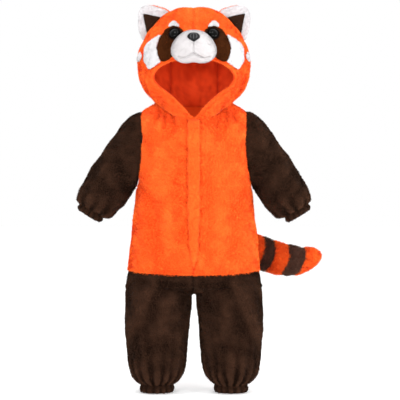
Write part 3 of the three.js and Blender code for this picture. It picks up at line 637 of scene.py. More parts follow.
def sleeve_way(row):
    return np.stack([row[:, 3] - row[:, 1], 0 * row[:, 0], row[:, 0] - row[:, 2]], -1)


bodice = Surface(BODICE, ring_point, level=1.2)
hips = Surface(HIPS, ring_point)
hood = Surface(HOOD, ring_point, level=1.2)
leg = Surface(LEG, leg_point, leg_way, LEG_GATHERS)
sleeve = Surface(SLEEVE, sleeve_point, sleeve_way, SLEEVE_GATHERS)
ankle_cuff = Surface(ANKLE_CUFF, leg_point, leg_way, CUFF_GATHERS)
wrist_cuff = Surface(WRIST_CUFF, sleeve_point, sleeve_way, CUFF_GATHERS)
tail = Surface(TAIL, tail_point)
print("triangles in a leg's cloth before it is cut:", len(leg.cloth(BIG_GRID).faces))

# %% [markdown]
# ## Measuring from one piece to another
# A sleeve ends where it meets the bodice. Cutting one mesh with the other could find that line, but
# it fails where two cloths nearly touch. A search tree gives the nearest point of a closed form
# instead, and the side of its face tells whether a point is inside or outside.

# %% Closed forms and distances
def closed_form(cloth_of_tube):
    """Points and faces of a tube of cloth with both ends closed."""
    point, faces = cloth_of_tube.point, cloth_of_tube.faces
    key = {(a, b) for a, b in edges_of(faces).tolist()}
    rim = np.array([(b, a) for a, b in key if (b, a) not in key])
    follow = dict(rim.tolist())
    points, extra = list(point), []
    while follow:
        start = next(iter(follow))
        loop = [start]
        while follow.get(loop[-1]) is not None and follow[loop[-1]] != start:
            loop.append(follow.pop(loop[-1]))
        follow.pop(loop[-1], None)
        middle = len(points)
        points.append(point[loop].mean(0))
        extra += [(a, b, middle) for a, b in zip(loop, loop[1:] + loop[:1])]
    return np.array(points), np.vstack([faces, np.array(extra)]) if extra else faces


def tree_of(points, faces):
    return BVHTree.FromPolygons(points.tolist(), faces.tolist())


def outside_by(tree, points):
    """How far points are outside a closed form, with what is inside below 0."""
    away = np.empty(len(points))
    for index, point in enumerate(points.tolist()):
        point = Vector(point)
        nearest, normal, _, distance = tree.find_nearest(point)
        away[index] = math.copysign(distance, (point - nearest).dot(normal))
    return away


bodice_form, sleeve_form, leg_form, hips_form, hood_form = (
    tree_of(*closed_form(surface.cloth(FORM_GRID))) for surface in (bodice, sleeve, leg, hips, hood))
middle = np.array([[0.0, 0.0, -200.0]])
print("from the middle of the waist out to the cloth:", -outside_by(bodice_form, middle).round(1), "mm")


# %% Folds and unevenness
WAVES = 9               # waves that are added up for an uneven field


def from_run(point, start, end):
    """Distance in the front view from a straight run between two points."""
    run, flat = np.subtract(end, start), point[:, [0, 2]] - start
    part = np.clip(flat @ run / (run @ run), 0, 1)
    return np.linalg.norm(flat - part[:, None] * run, axis=1)


def fold_rise(folds, point):
    """How far the folds lift each point: all of their rise on their own line, fading away from it."""
    total = np.zeros(len(point))
    for facing, from_x, from_z, to_x, to_z, width, rise in folds:
        near = np.sign(point[:, 1]) == -facing
        total += near * rise * fading(from_run(point, (from_x, from_z), (to_x, to_z)), width)
    return total


def ripple(point, size, seed):
    """A smooth uneven field, mostly between -1 and 1, whose swells are about that size."""
    chance = np.random.default_rng(seed)
    ways = unit(chance.normal(size=(WAVES, 3))) * chance.uniform(0.6, 1.5, (WAVES, 1)) * math.tau / size
    phases = chance.uniform(0, math.tau, WAVES)
    return np.sin(point @ ways.T + phases).sum(1) * (1.1 / math.sqrt(WAVES))


def swells(point, *waves):
    """Smooth unevenness: each of the waves has a rise, a size and a seed."""
    return sum(rise * ripple(point, size, seed) for rise, size, seed in waves)


deepest = fold_rise(BODICE_FOLDS + BODICE_CREASES, bodice.cloth(BIG_GRID).point).min()
print("the deepest crease of the bodice:", round(-float(deepest), 1), "mm")


# %% [markdown]
# ## From cloth to a Blender object
# The ground of the plush is a closed wall: an outer face, an inner face and a rim. The pile is
# an object of its own that goes with it. A hair system would not survive being exported as a
# mesh, so each fibre tuft is one pointed triangle, rooted on the ground and leaning with the nap.

# %% Meshes, walls and normals
def make_object(name, points, faces, smooth=True):
    mesh = bpy.data.meshes.new(name)
    mesh.vertices.add(len(points))
    mesh.vertices.foreach_set("co", (np.asarray(points, np.float32) * MM).ravel())
    mesh.loops.add(len(faces) * 3)
    mesh.loops.foreach_set("vertex_index", np.asarray(faces, np.int32).ravel())
    mesh.polygons.add(len(faces))
    mesh.polygons.foreach_set("loop_start", np.arange(0, len(faces) * 3, 3, dtype=np.int32))
    mesh.update(calc_edges=True)
    mesh.polygons.foreach_set("use_smooth", np.full(len(faces), smooth))
    thing = bpy.data.objects.new(name, mesh)
    bpy.context.scene.collection.objects.link(thing)
    return thing


def normals_of(points, faces):
    normal, total = crosses(points, faces), np.zeros_like(points)
    for corner in range(3):
        np.add.at(total, faces[:, corner], normal)
    return unit(total)


def wall(outer, inner, faces):
    """A closed wall between two faces of the same cloth."""
    edges = edges_of(faces)
    low_high = np.sort(edges, axis=1)
    _, first, count = np.unique(low_high, axis=0, return_index=True, return_counts=True)
    rim = edges[first[count == 1]]
    shift = len(outer)
    a, b = rim.T
    points = np.vstack([outer, inner])
    rim_faces = np.concatenate([np.stack([b, a, a + shift], -1), np.stack([b, a + shift, b + shift], -1)])
    return points, np.concatenate([faces, faces[:, ::-1] + shift, rim_faces])


def note(thing, name, values):
    """Keeps a number for each point, which the material can read."""
    layer = thing.data.attributes.new(name, "FLOAT", "POINT")
    layer.data.foreach_set("value", np.asarray(values, np.float32))


def stand_in(thing, node):
    """The piece rides on the suit's one body, in place of a solid, which is hidden."""
    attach(thing, "root")
    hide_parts(node)


# %% The pile
ROOTED = 0.25           # tufts start this far inside the ground
PILE_REACH = 4.6        # how high tufts stand at most
FRINGE, FRINGE_HEIGHT = 0.8, 6          # how much longer the tufts at a hem are, and how high up
FOLD_SHADE_DEPTH = 3.2      # painted shade: a crease this deep gets the full painted shade on its pile
SEAM_SHADE_DEPTH, SEAM_SHADE_WIDTH = 1.2, 3.0    # how deep and how wide a seam counts as a crease for the painted shade
SWIRLS = (0.75, 34), (0.6, 9)           # turns of the nap, and the size of their patches
LEANS = (1, 26), (1, 8)                 # the same for how far it stands up or lies down
LEAST_LEAN, MOST_LEAN = 0.1, 1.35       # radians
TUFT_TURN, TUFT_LEAN, TUFT_TWIST = 0.28, 0.14, 0.55     # each tuft's own chance, in radians
TUFT_HALF_WIDTH, TUFT_LENGTH = (0.35, 0.6), (0.72, 1.1)     # shares of the given width and length
SHORTEST = 0.6
BLADE = np.array([[0.1, 0.1], [0.9, 0.1], [0.5, 0.9]])  # a tuft in its own square of the map
blades_made = 0


def scattered(cloth, ground, density, chance):
    """Places spread evenly over a ground: the face of each, its corners' shares and the point."""
    total = np.cumsum(areas(ground, cloth.faces))
    count = int(total[-1] * density)
    face = np.searchsorted(total, (np.arange(count) + chance.random(count)) / count * total[-1])
    face = np.minimum(face, len(total) - 1)
    a, b = np.sqrt(chance.random(count)), chance.random(count)
    share = np.stack([1 - a, a * (1 - b), a * b], -1)[..., None]
    return count, face, share, (ground[cloth.faces][face] * share).sum(1)


def pile(name, cloth, ground, finish, slot, length, width, density, seed, lean=48, spread=0.16,
         reach=1.0, hem=None):
    """Pointed tufts all over a ground. Lengths in mm, density in tufts a square mm, lean in degrees."""
    global blades_made
    chance = np.random.default_rng(seed)
    ground = ground - ROOTED * cloth.way
    count, face, share, root = scattered(cloth, ground, density, chance)
    way = unit((normals_of(ground, cloth.faces)[cloth.faces[face]] * share).sum(1))
    nap = (cloth.nap[cloth.faces[face]] * share).sum(1)
    nap = unit(nap - way * (nap * way).sum(1, keepdims=True))
    side = np.cross(way, nap)
    turn = swells(root, (*SWIRLS[0], seed + 1), (*SWIRLS[1], seed + 2))
    turn += chance.normal(0, TUFT_TURN, count)
    nap = nap * np.cos(turn)[:, None] + side * np.sin(turn)[:, None]
    bow = math.radians(lean) + spread * swells(root, (*LEANS[0], seed + 3), (*LEANS[1], seed + 4))
    bow = np.clip(bow + chance.normal(0, TUFT_LEAN, count), LEAST_LEAN, MOST_LEAN)
    axis = way * np.cos(bow)[:, None] + nap * np.sin(bow)[:, None]
    flat = unit(np.cross(way, axis))
    twist = chance.normal(0, TUFT_TWIST, count)[:, None]
    across = flat * np.cos(twist) + np.cross(axis, flat) * np.sin(twist)
    across *= (width * chance.uniform(*TUFT_HALF_WIDTH, count))[:, None]
    grown = length * chance.uniform(*TUFT_LENGTH, count)
    most = reach * PILE_REACH / np.maximum(np.cos(bow), 0.2)
    if hem is not None:
        fringe = 1 + FRINGE * chance.random(count) * fading(root[:, 2] - hem, FRINGE_HEIGHT)
        grown, most = grown * fringe, most * fringe
    tip = root + axis * np.minimum(grown, np.maximum(most, SHORTEST * length))[:, None]
    points = np.stack([root + across, root - across, tip], 1).reshape(-1, 3)
    thing = make_object(name, points, np.arange(count * 3).reshape(-1, 3), smooth=False)
    note(thing, "tone", np.repeat(chance.random(count), 3))
    # Painted shade and light: tufts in creases, gathers and seams are noted for a darker colour, tufts on
    # ridges for a paler one.
    lift = cloth.wave + cloth.gather_shade - SEAM_SHADE_DEPTH * fading(cloth.edge, SEAM_SHADE_WIDTH)
    painted_fold_shade = np.clip(-(lift[cloth.faces[face]] * share[..., 0]).sum(1) / FOLD_SHADE_DEPTH, -1, 1)
    note(thing, "painted_fold_shade", np.repeat(0.5 + 0.5 * painted_fold_shade, 3))
    note(thing, "tip", np.tile([0.0, 0.0, 1.0], count))
    cells = int(math.ceil(math.sqrt(count)))
    column, row = np.arange(count) % cells, np.arange(count) // cells
    cell = np.stack([column, row], -1)[:, None] + BLADE
    thing.data.uv_layers.new(name="OFBake").data.foreach_set("uv", (cell / cells).ravel())
    thing.data.materials.append(finish)
    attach(thing, "root")
    blades_made += count
    return thing


# %% One sewn piece: wall, pile and a note of it
sheets = []


def record(node, ground, ground_faces, faces, fluff=None):
    """Notes a piece: its area in square metres, its triangles and its tufts."""
    area = round(areas(ground, ground_faces).sum() * MM * MM, 4)
    sheets.append((node, area, len(faces), len(fluff.data.polygons) if fluff else 0))


def sew(node, cloth, lift, finish, slot, seed, pile_height=PILE,
        under=PLUSH, tuft=None, inner=None):
    """Makes a cloth wall for a node, from lift minus the pile down to lift minus under, and its pile."""
    ground = cloth.point + cloth.way * (lift - pile_height)[:, None]
    inside = cloth.point + cloth.way * (lift - under)[:, None]
    points, faces = wall(ground, inside, cloth.faces)
    thing = make_object(node + "_cloth", points, faces)
    thing.data.materials.append(finish.ground)
    if inner:
        thing.data.materials.append(inner)
        number = np.zeros(len(faces), np.int32)
        number[len(cloth.faces):] = 1
        thing.data.polygons.foreach_set("material_index", number)
    stand_in(thing, node)
    tufts = {**finish.tuft, **(tuft or {})}
    fluff = pile(node + "_pile", cloth, ground, finish.pile, slot, seed=seed, **tufts)
    record(node, ground, cloth.faces, faces, fluff)
    return thing


# %% [markdown]
# ## Shader maths as plain sums
# A material's pattern is arithmetic on noises and on the numbers noted at each point. It could be
# wired by hand, socket by socket, but sums are easier to read. Wire wraps an output socket so that
# it can be added and multiplied like a number, and each such step adds one Math node. Recipe makes
# every other node.

# %% Wire and Recipe
def both_ways(operation):
    """An operator and its reflected form, which 1 - mask needs."""
    return (lambda self, other: self.recipe.sum(operation, self, other),
            lambda self, other: self.recipe.sum(operation, other, self))


class Wire:
    """One output socket that can be used in sums."""

    def __init__(self, recipe, socket):
        self.recipe, self.socket = recipe, socket

    __add__, __radd__ = both_ways("ADD")
    __sub__, __rsub__ = both_ways("SUBTRACT")
    __mul__, __rmul__ = both_ways("MULTIPLY")
    __truediv__, __rtruediv__ = both_ways("DIVIDE")
    __pow__, __rpow__ = both_ways("POWER")


class Recipe:
    """The nodes of a material, or of the sky, in the making."""

    def __init__(self, name, owner=None, end="ShaderNodeOutputMaterial"):
        self.owner = owner or bpy.data.materials.new(name)
        self.owner.use_nodes = True
        self.tree = self.owner.node_tree
        self.tree.nodes.clear()
        self.end = self.tree.nodes.new(end)

    def node(self, kind, settings=None, inputs=None):
        """Adds a node: first its settings, then its sockets by name or number. Gives its outputs."""
        made = self.tree.nodes.new(kind)
        for name, value in (settings or {}).items():
            if name == "stops":
                for stop, (place, tone) in zip(made.color_ramp.elements, value):
                    stop.position, stop.color = place, tone
            else:
                setattr(made, name, value)
        for name, value in (inputs or {}).items():
            if isinstance(value, Wire):
                self.tree.links.new(value.socket, made.inputs[name])
            else:
                made.inputs[name].default_value = value
        return {out.name: Wire(self, out) for out in made.outputs if out.enabled}

    def sum(self, operation, *values):
        return self.node("ShaderNodeMath", {"operation": operation}, dict(enumerate(values)))["Value"]

    def finish(self, shader):
        self.tree.links.new(shader.socket, self.end.inputs["Surface"])
        return self.owner

    def noted(self, name):
        return self.node("ShaderNodeAttribute", {"attribute_name": name})["Fac"]

    def place(self, kind="Object"):
        return self.node("ShaderNodeTexCoord")[kind]

    def axes(self, place):
        return self.node("ShaderNodeSeparateXYZ", None, {"Vector": place})

    def noise(self, size_mm, detail=2.0, roughness=0.5):
        """A cloudy pattern from 0 to 1 whose clouds are about that size."""
        return self.node("ShaderNodeTexNoise", None, {
            "Vector": self.place(), "Scale": 1 / (size_mm * MM), "Detail": detail,
            "Roughness": roughness,
        })["Fac"]

    def blend(self, share, first, second):
        """A colour between two others."""
        return self.node("ShaderNodeMix", {"data_type": "RGBA"}, {0: share, 6: first, 7: second})["Result"]

    def bump(self, height, distance_mm, strength=1.0):
        return self.node("ShaderNodeBump", None, {
            "Height": height, "Distance": distance_mm * MM, "Strength": strength,
        })["Normal"]

    def surface(self, colour, roughness=0.9, normal=None, **uniform):
        """Ends the recipe with one shader; uniform numbers go straight onto its own sockets."""
        inputs = {"Base Color": colour, "Roughness": roughness}
        if normal:
            inputs["Normal"] = normal
        inputs.update({name.replace("_", " "): value for name, value in uniform.items()})
        return self.finish(self.node("ShaderNodeBsdfPrincipled", None, inputs)["BSDF"])


# %% [markdown]
# ## Finishes
# Plush is darker at the root, where fibres shade each other, and paler at the tips. Where the nap
# is brushed one way or another it looks lighter or darker, in patches as wide as a thumb. A picture
# of plush could be laid on instead, but it would show its edges and its own light. Here each finish
# has three colours, a root, a tip and a brushed tip, and cloudy noise chooses between them.

# %% Plush finishes
def colour(red, green, blue):
    return (red, green, blue, 1.0)


EYE_PLACE = np.array([41, -97, 152.0])
NEAR_EYE, NEAR_EYE_FADE = 12.5, 4.0     # the patch is black round a button, and fades over that


def black_round_eye(recipe, plain):
    """A colour that turns black near the eye of its side."""
    axes = recipe.axes(recipe.place())
    across = recipe.sum("ABSOLUTE", axes["X"]) - EYE_PLACE[0] * MM
    up = axes["Z"] - EYE_PLACE[2] * MM
    share = ((across * across + up * up) ** 0.5 - NEAR_EYE * MM) / (NEAR_EYE_FADE * MM)
    share = recipe.sum("MAXIMUM", recipe.sum("MINIMUM", share, 1.0), 0.0)
    return recipe.blend(share, colour(0.004, 0.003, 0.003), plain)


class Plush:
    """The two materials of a plush and the tufts that stand on it."""

    def __init__(self, name, root, tip, brushed, sheen, tint, shade=lambda recipe, plain: plain,
                 shadow=0.55, **tuft):
        fluff = Recipe(name + "_pile")
        brushed_here = fluff.noise(34, 3.0, 0.6) * 1.1 + fluff.noise(9, 2.0) * 0.5 - 0.3
        top = fluff.blend(brushed_here, tip, brushed)
        # Painted shade and light: in creases the colour goes towards the dark root, on ridges towards the
        # tip.
        painted_fold_shade = fluff.noted("painted_fold_shade") * 2 - 1
        grown = fluff.noted("tip") * 0.75 + fluff.noted("tone") * 0.35 - painted_fold_shade * shadow
        self.pile = fluff.surface(
            shade(fluff, fluff.blend(grown, root, top)), Sheen_Weight=sheen, Sheen_Roughness=0.45,
            Sheen_Tint=tint, Specular_IOR_Level=0.02,
        )
        knit = Recipe(name + "_ground")
        stitches = knit.noise(1.4, 1.0)
        # Random tone of the ground, between the root's colour and the tip's.
        wear_and_highlight = knit.noise(20, 3.0) * 0.4 + 0.45
        self.ground = knit.surface(
            shade(knit, knit.blend(wear_and_highlight, root, tip)), normal=knit.bump(stitches, 0.4, 0.6),
            Sheen_Weight=sheen, Sheen_Roughness=0.5, Specular_IOR_Level=0.05,
        )
        self.tuft = {"length": 4.3, "width": 1.0, "density": 0.8, **tuft}


ORANGE = Plush("orange_plush", colour(0.72, 0.050, 0.006), colour(0.95, 0.145, 0.018),
               colour(0.98, 0.24, 0.045), 0.10, colour(1.0, 0.5, 0.25), shadow=0.40)
DARK_BROWN = Plush("dark_brown_plush", colour(0.010, 0.0045, 0.0025), colour(0.036, 0.0150, 0.0078),
                   colour(0.074, 0.034, 0.020), 0.04, colour(0.6, 0.35, 0.2), shadow=0.75, density=0.72)
WHITE = Plush("white_plush", colour(0.50, 0.47, 0.475), colour(0.665, 0.66, 0.675),
              colour(0.70, 0.695, 0.71), 0.0, colour(1, 1, 1), length=2.6, width=0.8, density=1.0)
# Painted shade: the muzzle is the white plush made darker, to hold back the strong front light on it.
SHADED_MUZZLE_WHITE = Plush("shaded_muzzle_plush", colour(0.44, 0.40, 0.40), colour(0.585, 0.575, 0.58),
                     colour(0.63, 0.62, 0.625), 0.0, colour(1, 1, 1), length=2.6, width=0.8, density=1.0)
TAIL_BROWN = Plush("tail_brown_plush", colour(0.022, 0.008, 0.005), colour(0.105, 0.047, 0.032),
                   colour(0.19, 0.10, 0.07), 0.10, colour(0.6, 0.4, 0.3))


# %% [markdown]
# ## Finishes without pile
# The back of the plush and the hood's lining are fine knits, the nose is a grained black with a painted
# highlight on its raised lines, and the eyes are polished buttons. The knit's loops could be modelled, but
# there are a million of them, so two crossed waves in a bump give them. The orange knit and the lining
# have a faint painted glow of their own, standing in for light that the lamps hardly bring inside the
# suit.

# %% Knit and black
ROW_SIZE, LOOP_SIZE = 1.6, 1.2          # the knit's rows and loops


def knit_inside(name, dark, pale, glow=0.0):
    """A fine knit with rows of loops, paler where it is noted as raised, which is painted light and shade;
    glow is a painted light of its own.
    """
    knit = Recipe(name)
    axes = knit.axes(knit.place())
    rows, loops = (knit.sum("SINE", axes[axis] * (math.tau / (size * MM)))
                   for axis, size in (("Z", ROW_SIZE), ("X", LOOP_SIZE)))
    weave = rows * loops * 0.5 + 0.5
    shade = knit.noise(45, 3.0) * 0.4 + weave * 0.2 + knit.noted("raised") * 0.5
    return knit.surface(knit.blend(shade, dark, pale), normal=knit.bump(weave, 0.25, 0.7),
                        Sheen_Weight=0.15, Sheen_Roughness=0.4, Sheen_Tint=colour(1.0, 0.5, 0.35),
                        Specular_IOR_Level=0.1, Emission_Color=pale, Emission_Strength=glow)


# Painted light: the orange knit glows faintly, to light the inside of the neck.
ORANGE_INSIDE = knit_inside("orange_inside", colour(0.70, 0.06, 0.01), colour(0.90, 0.10, 0.015),
                            0.22)
BROWN_INSIDE = knit_inside("brown_inside", colour(0.03, 0.014, 0.009), colour(0.06, 0.03, 0.02))
# Painted light: the lining glows faintly as well.
LINING_CLOTH = knit_inside("hood_lining", colour(0.42, 0.008, 0.001), colour(0.92, 0.092, 0.018),
                           0.05)
GRAIN_PALER = 2.2       # the pale grains of a black are this much paler


def smooth_black(name, base, roughness, grain_mm, gloss, wear_and_highlight=0.0):
    """Black with a fine grain; wear_and_highlight is how pale it is where a raised line is noted, which on
    the nose is a painted highlight.
    """
    black = Recipe(name)
    grain = black.noise(grain_mm, 3.0, 0.6)
    pale = colour(*(value * GRAIN_PALER for value in base[:3]))
    body = black.blend(grain, base, pale)
    if wear_and_highlight:
        body = black.blend(black.noted("line"), body, colour(wear_and_highlight, wear_and_highlight, wear_and_highlight * 1.05))
    return black.surface(body, roughness=grain * 0.3 * roughness + roughness,
                         normal=black.bump(grain, 0.05, 0.3) if wear_and_highlight else None,
                         Specular_IOR_Level=gloss)


EYE_BLACK = smooth_black("black_eye", colour(0.001, 0.001, 0.001), 0.05, 3.0, 0.12)
# Painted highlight: the nose's raised nostril lines are coloured paler.
NOSE_BLACK = smooth_black("black_nose", colour(0.003, 0.003, 0.0033), 0.42, 1.2, 0.16, 0.085)
print("materials:", len(bpy.data.materials))


# %% [markdown]
# ## Stuffed and plain pieces
# Muzzle, ears and tail hold light stuffing. They could be blown up by a cloth simulation, but they
# are small and their outlines are known, so each is a closed form from its own sections, with the
# same pile on it as the walls have. Nose and eyes are closed forms with nothing on them.

# %% Makers for them
def stuff(node, cloth, lift, finish, slot, seed, pile_height, tuft=None):
    """A closed stuffed form under a piece of cloth, with its pile."""
    ground = cloth.point + cloth.way * (lift - pile_height)[:, None]
    points, faces = closed_form(Cloth(ground, cloth.faces))
    thing = make_object(node + "_form", points, faces)
    thing.data.materials.append(finish.ground)
    stand_in(thing, node)
    fluff = pile(node + "_pile", cloth, ground, finish.pile, slot, seed=seed,
                 **{**finish.tuft, **(tuft or {})})
    record(node, ground, cloth.faces, faces, fluff)


def hard_form(node, cloth, lift, material, name):
    """A closed form with no pile."""
    points, faces = closed_form(Cloth(cloth.point + cloth.way * lift[:, None], cloth.faces))
    thing = make_object(name, points, faces)
    thing.data.materials.append(material)
    stand_in(thing, node)
    record(node, points, faces, faces)
    return thing


def join(*pieces):
    """Several cloths as one piece."""
    shifts = np.cumsum([0] + [len(piece.data) for piece in pieces[:-1]])
    return Cloth(np.vstack([piece.data for piece in pieces]),
                 np.vstack([piece.faces + shift for piece, shift in zip(pieces, shifts)]))


def pinched(cloth, depth=1.3, width=3.5):
    """Cloth dips where it is sewn to its neighbour."""
    return -depth * fading(cloth.edge, width)


def domed(cloth, width=3.0):
    """From 0 at a patch's edge to 1 a little way in, with a round shoulder."""
    return np.sqrt(1 - (1 - np.clip(cloth.edge / width, 0, 1)) ** 2)


def uneven(folds, seed, shift=5.0):
    """The same folds for the other side, moved and deepened a little by chance."""
    chance = np.random.default_rng(seed)
    return [(facing, *(np.array(run) + chance.uniform(-shift, shift, 4)), width,
             rise * chance.uniform(0.7, 1.25)) for facing, *run, width, rise in folds]


# %% [markdown]
# ## Bodice
# The body is cut as two fronts and one back, sewn at the sides and shoulders, and the sleeves go
# into armholes. The grid is made once, all round, and trimmed into the three pieces. A sewing
# simulation would need the exact paper pattern, which the photograph doesn't show.

# %% Fronts and back
def beside(point):
    """The same points on the wearer's left, for measuring against the left sleeve or leg."""
    return point * np.where(point[:, :1] < 0, -1, 1) ** np.array([1, 0, 0])


HEM = -358              # height of the bodice's lower edge
TUCK = 1.2              # a seam's cloth goes this far past the line where two forms meet
body = bodice.cloth(BIG_GRID)
body_lift = fold_rise(BODICE_FOLDS + BODICE_CREASES, body.point)
body_lift += swells(body.point, (0.8, 70, 11), (0.3, 24, 12))
body.data[:, 10] = body_lift
strip_edge = inside_by(mirrored_outline(PLACKET), body.point[:, 0], body.point[:, 2])
beside_strip = fading(strip_edge + 1.5, 3.2) * (body.point[:, 1] < 0)
body.data[:, 10] -= beside_strip * np.clip(2.2 + 1.3 * ripple(body.point, 16, 13), 0.4, 4)
body = trim(body, outside_by(sleeve_form, beside(body.point)) + TUCK)
for node, side, seed in (("front_left", 1, 21), ("front_right", -1, 22)):
    half = trim(body, -body.point[:, 1] - SEAM / 2, rounds=False)
    half = trim(half, side * half.point[:, 0] - SEAM / 2, rounds=False)
    sew(node, half, half.wave + pinched(half), ORANGE, "orange_plush", seed,
        inner=ORANGE_INSIDE, tuft={"hem": HEM})
back = trim(body, body.point[:, 1] - SEAM / 2, rounds=False)
sew("back", back, back.wave + pinched(back), ORANGE, "orange_plush", 23,
    inner=ORANGE_INSIDE, tuft={"hem": HEM})
print("bodice (area, triangles, tufts):", sheets)

# %% [markdown]
# ## Placket
# A strip of the same plush covers the opening of the fronts and comes to a point above the hip
# seam. It could be raised out of the fronts, but on the real one it is a piece of its own, with its
# edges turned under. So it is trimmed from a finer grid of the same surface, with round edges that
# waver a little.

# %% Placket
PLACKET_WOBBLE = 0.8
PLACKET_ARC = 0.12      # radians to either side of the middle
strip = bodice.cloth(FINE_GRID, angles=(-PLACKET_ARC, PLACKET_ARC))
field = inside_by(mirrored_outline(PLACKET), strip.point[:, 0], strip.point[:, 2])
strip.data[:, 10] = fold_rise(BODICE_FOLDS, strip.point) + 0.5 * ripple(strip.point, 70, 11)
strip = trim(strip, field + PLACKET_WOBBLE * ripple(strip.point, 26, 31))
strip = trim(strip, outside_by(hood_form, strip.point) + 1.0, rounds=False)
strip_lift = strip.wave + SEAM + 1.0 + PATCH * domed(strip, 4.5) + 0.5 * ripple(strip.point, 14, 32)
sew("placket", strip, strip_lift, ORANGE, "orange_plush", 33, pile_height=2.2,
    under=3.2, tuft={"length": 3.2})
print("placket:", sheets[-1])

# %% [markdown]
# ## Sleeves and cuffs
# Each sleeve is one tube, full at the elbow and gathered into an elastic cuff. A simulation could
# draw it up, but would need the elastic's pull. Here the gathers are waves in the table's own
# sections that die out up the arm, and no two are alike.

# %% Sleeves
CUFF_TUCK = 6.0         # a cuff starts this far inside the gathered edge


def sew_cuff(node, surface, side, seed, pile_seed):
    """A casing on elastic, with shorter and closer pile than the tube that it closes."""
    cuff = surface.tucked(FINE_GRID, CUFF_TUCK).on(side)
    sew(node, cuff, swells(cuff.point, (0.25, 8, seed)), DARK_BROWN, "dark_brown_plush", pile_seed,
        inner=BROWN_INSIDE, pile_height=2.0,
        tuft={"length": 2.6, "density": 1.0})


for (name, side), seed in zip(SIDES, (41, 51)):
    folds = SLEEVE_FOLDS + SLEEVE_CREASES
    folds = folds if side > 0 else uneven(folds, seed)
    tube = sleeve.cloth(BIG_GRID)
    tube.data[:, 10] = fold_rise(folds, tube.point)
    tube.data[:, 10] += swells(tube.point, (0.9, 55, seed), (0.35, 20, seed + 1))
    tube = trim(tube, outside_by(bodice_form, tube.point) + 2 * TUCK)
    sew("sleeve_" + name, tube.on(side), tube.wave + pinched(tube, 1.6, 5.0), DARK_BROWN,
        "dark_brown_plush", seed, inner=BROWN_INSIDE)
    sew_cuff("wrist_cuff_" + name, wrist_cuff, side, seed + 5, seed + 3)
print("sleeves:", sheets[-4:])

# %% [markdown]
# ## Trousers
# Real trousers are two fronts and two backs that meet at the fork between the legs. One mesh with
# a branching grid could give that, but its cells would stretch there. So the hips and the legs are
# separate surfaces, each is trimmed by its distance from the other, and what is left meets.

# %% Legs
HIP_SEAM = -357
HEM_STEP, HEM_WIDTH = 1.6, 9            # the trousers dip under the fronts' edge
FORK_TUCK = 4.0         # legs and hips reach this far into each other, so that their plush closes up
FORK_SEAM, FORK_WIDTH = 2.4, 3.2        # and they dip at the seam between the legs


def leg_pieces(side, seed):
    folds = LEG_FOLDS + LEG_CREASES
    folds = folds if side > 0 else uneven(folds, seed)
    tube, top = leg.cloth(BIG_GRID), hips.cloth(BIG_GRID)
    tube = trim(tube, outside_by(hips_form, tube.point) + FORK_TUCK, rounds=False)
    top = trim(top, top.point[:, 0] - SEAM / 2, rounds=False)
    top = trim(top, outside_by(leg_form, top.point) + FORK_TUCK, rounds=False)
    whole = join(tube, top)
    whole.data[:, 10] = fold_rise(folds, whole.point)
    whole.data[:, 10] += swells(whole.point, (0.9, 60, seed), (0.35, 21, seed + 1))
    whole.data[:, 10] -= HEM_STEP * fading(whole.point[:, 2] - HIP_SEAM, HEM_WIDTH)
    whole.data[:, 10] -= FORK_SEAM * fading(whole.point[:, 0], FORK_WIDTH)
    return whole


for (name, side), seed in zip(SIDES, (61, 71)):
    whole = leg_pieces(side, seed)
    for part, facing, shift in (("front", -1, 0), ("back", 1, 4)):
        half = trim(whole, facing * whole.point[:, 1] - SEAM / 2)
        sew(f"leg_{part}_{name}", half.on(side), half.wave + pinched(half, 1.2, 3.5), DARK_BROWN,
            "dark_brown_plush", seed + shift,
            inner=BROWN_INSIDE)
    sew_cuff("ankle_cuff_" + name, ankle_cuff, side, seed + 5, seed + 8)
print("trousers:", sheets[-6:])
print("tufts so far:", blades_made)

# %% [markdown]
# ## Hood
# Two side pieces meet in a seam over the middle of the head, which sinks a little. Each could be
# bent from its flat pattern, but the pattern isn't known. The hood's sections are, so both sides are
# trimmed from one grid, and the same creases lift the plush, the patches and the lining.

# %% Shape of the hood
opening = smooth_outline(mirrored_outline(FACE_OPENING), 160)
edge_band = np.array(mirrored_outline(EDGE_BAND), float)
SEAM_DEPTH, SEAM_WIDTH = 2.0, 4.5
CROWN_FILL, CROWN_WIDTH = 3.0, 13       # over the middle of the head the sides bulge to their seam
CROWN_FROM, CROWN_OVER = 195, 15        # from this height on, in full this much higher
NECK_TUCK = 1.5         # the hood's lowest edge goes this far into the neck seam
NECK_TOP = 14           # and no point above this height does


def hood_lift(point):
    """Creases and unevenness of the hood, the same for the plush and the lining under it."""
    lift = fold_rise(HOOD_CREASES, point) + swells(point, (0.8, 60, 81), (0.3, 22, 82))
    crown = np.clip((point[:, 2] - CROWN_FROM) / CROWN_OVER, 0, 1)
    return lift + CROWN_FILL * crown * fading(point[:, 0], CROWN_WIDTH)


def into_neck(piece, tuck):
    """Lowers the neck edge of a piece of the hood."""
    rim = outside_by(bodice_form, piece.point - [0, 0, 1.0]) < 1.0
    piece.data[rim & (piece.point[:, 2] < NECK_TOP), 2] -= tuck


# %% Hood sides
shell = hood.cloth(BIG_GRID)
shell.data[:, 10] = hood_lift(shell.point)
into_neck(shell, NECK_TUCK)
band_inside = inside_by(edge_band, shell.point[:, 0], shell.point[:, 2])
sides = trim(shell, np.maximum(-band_inside - SEAM, shell.point[:, 1]))
for (name, side), seed in zip(SIDES, (83, 84)):
    half = trim(sides, side * sides.point[:, 0] - SEAM / 2, rounds=False)
    middle = fading(half.point[:, 0], SEAM_WIDTH) * (1 + swells(half.point, (0.35, 14, 85)))
    half.data[:, 10] -= SEAM_DEPTH * middle
    sew("hood_" + name, half, half.wave + pinched(half, 1.0), ORANGE, "orange_plush", seed,
        inner=ORANGE_INSIDE)

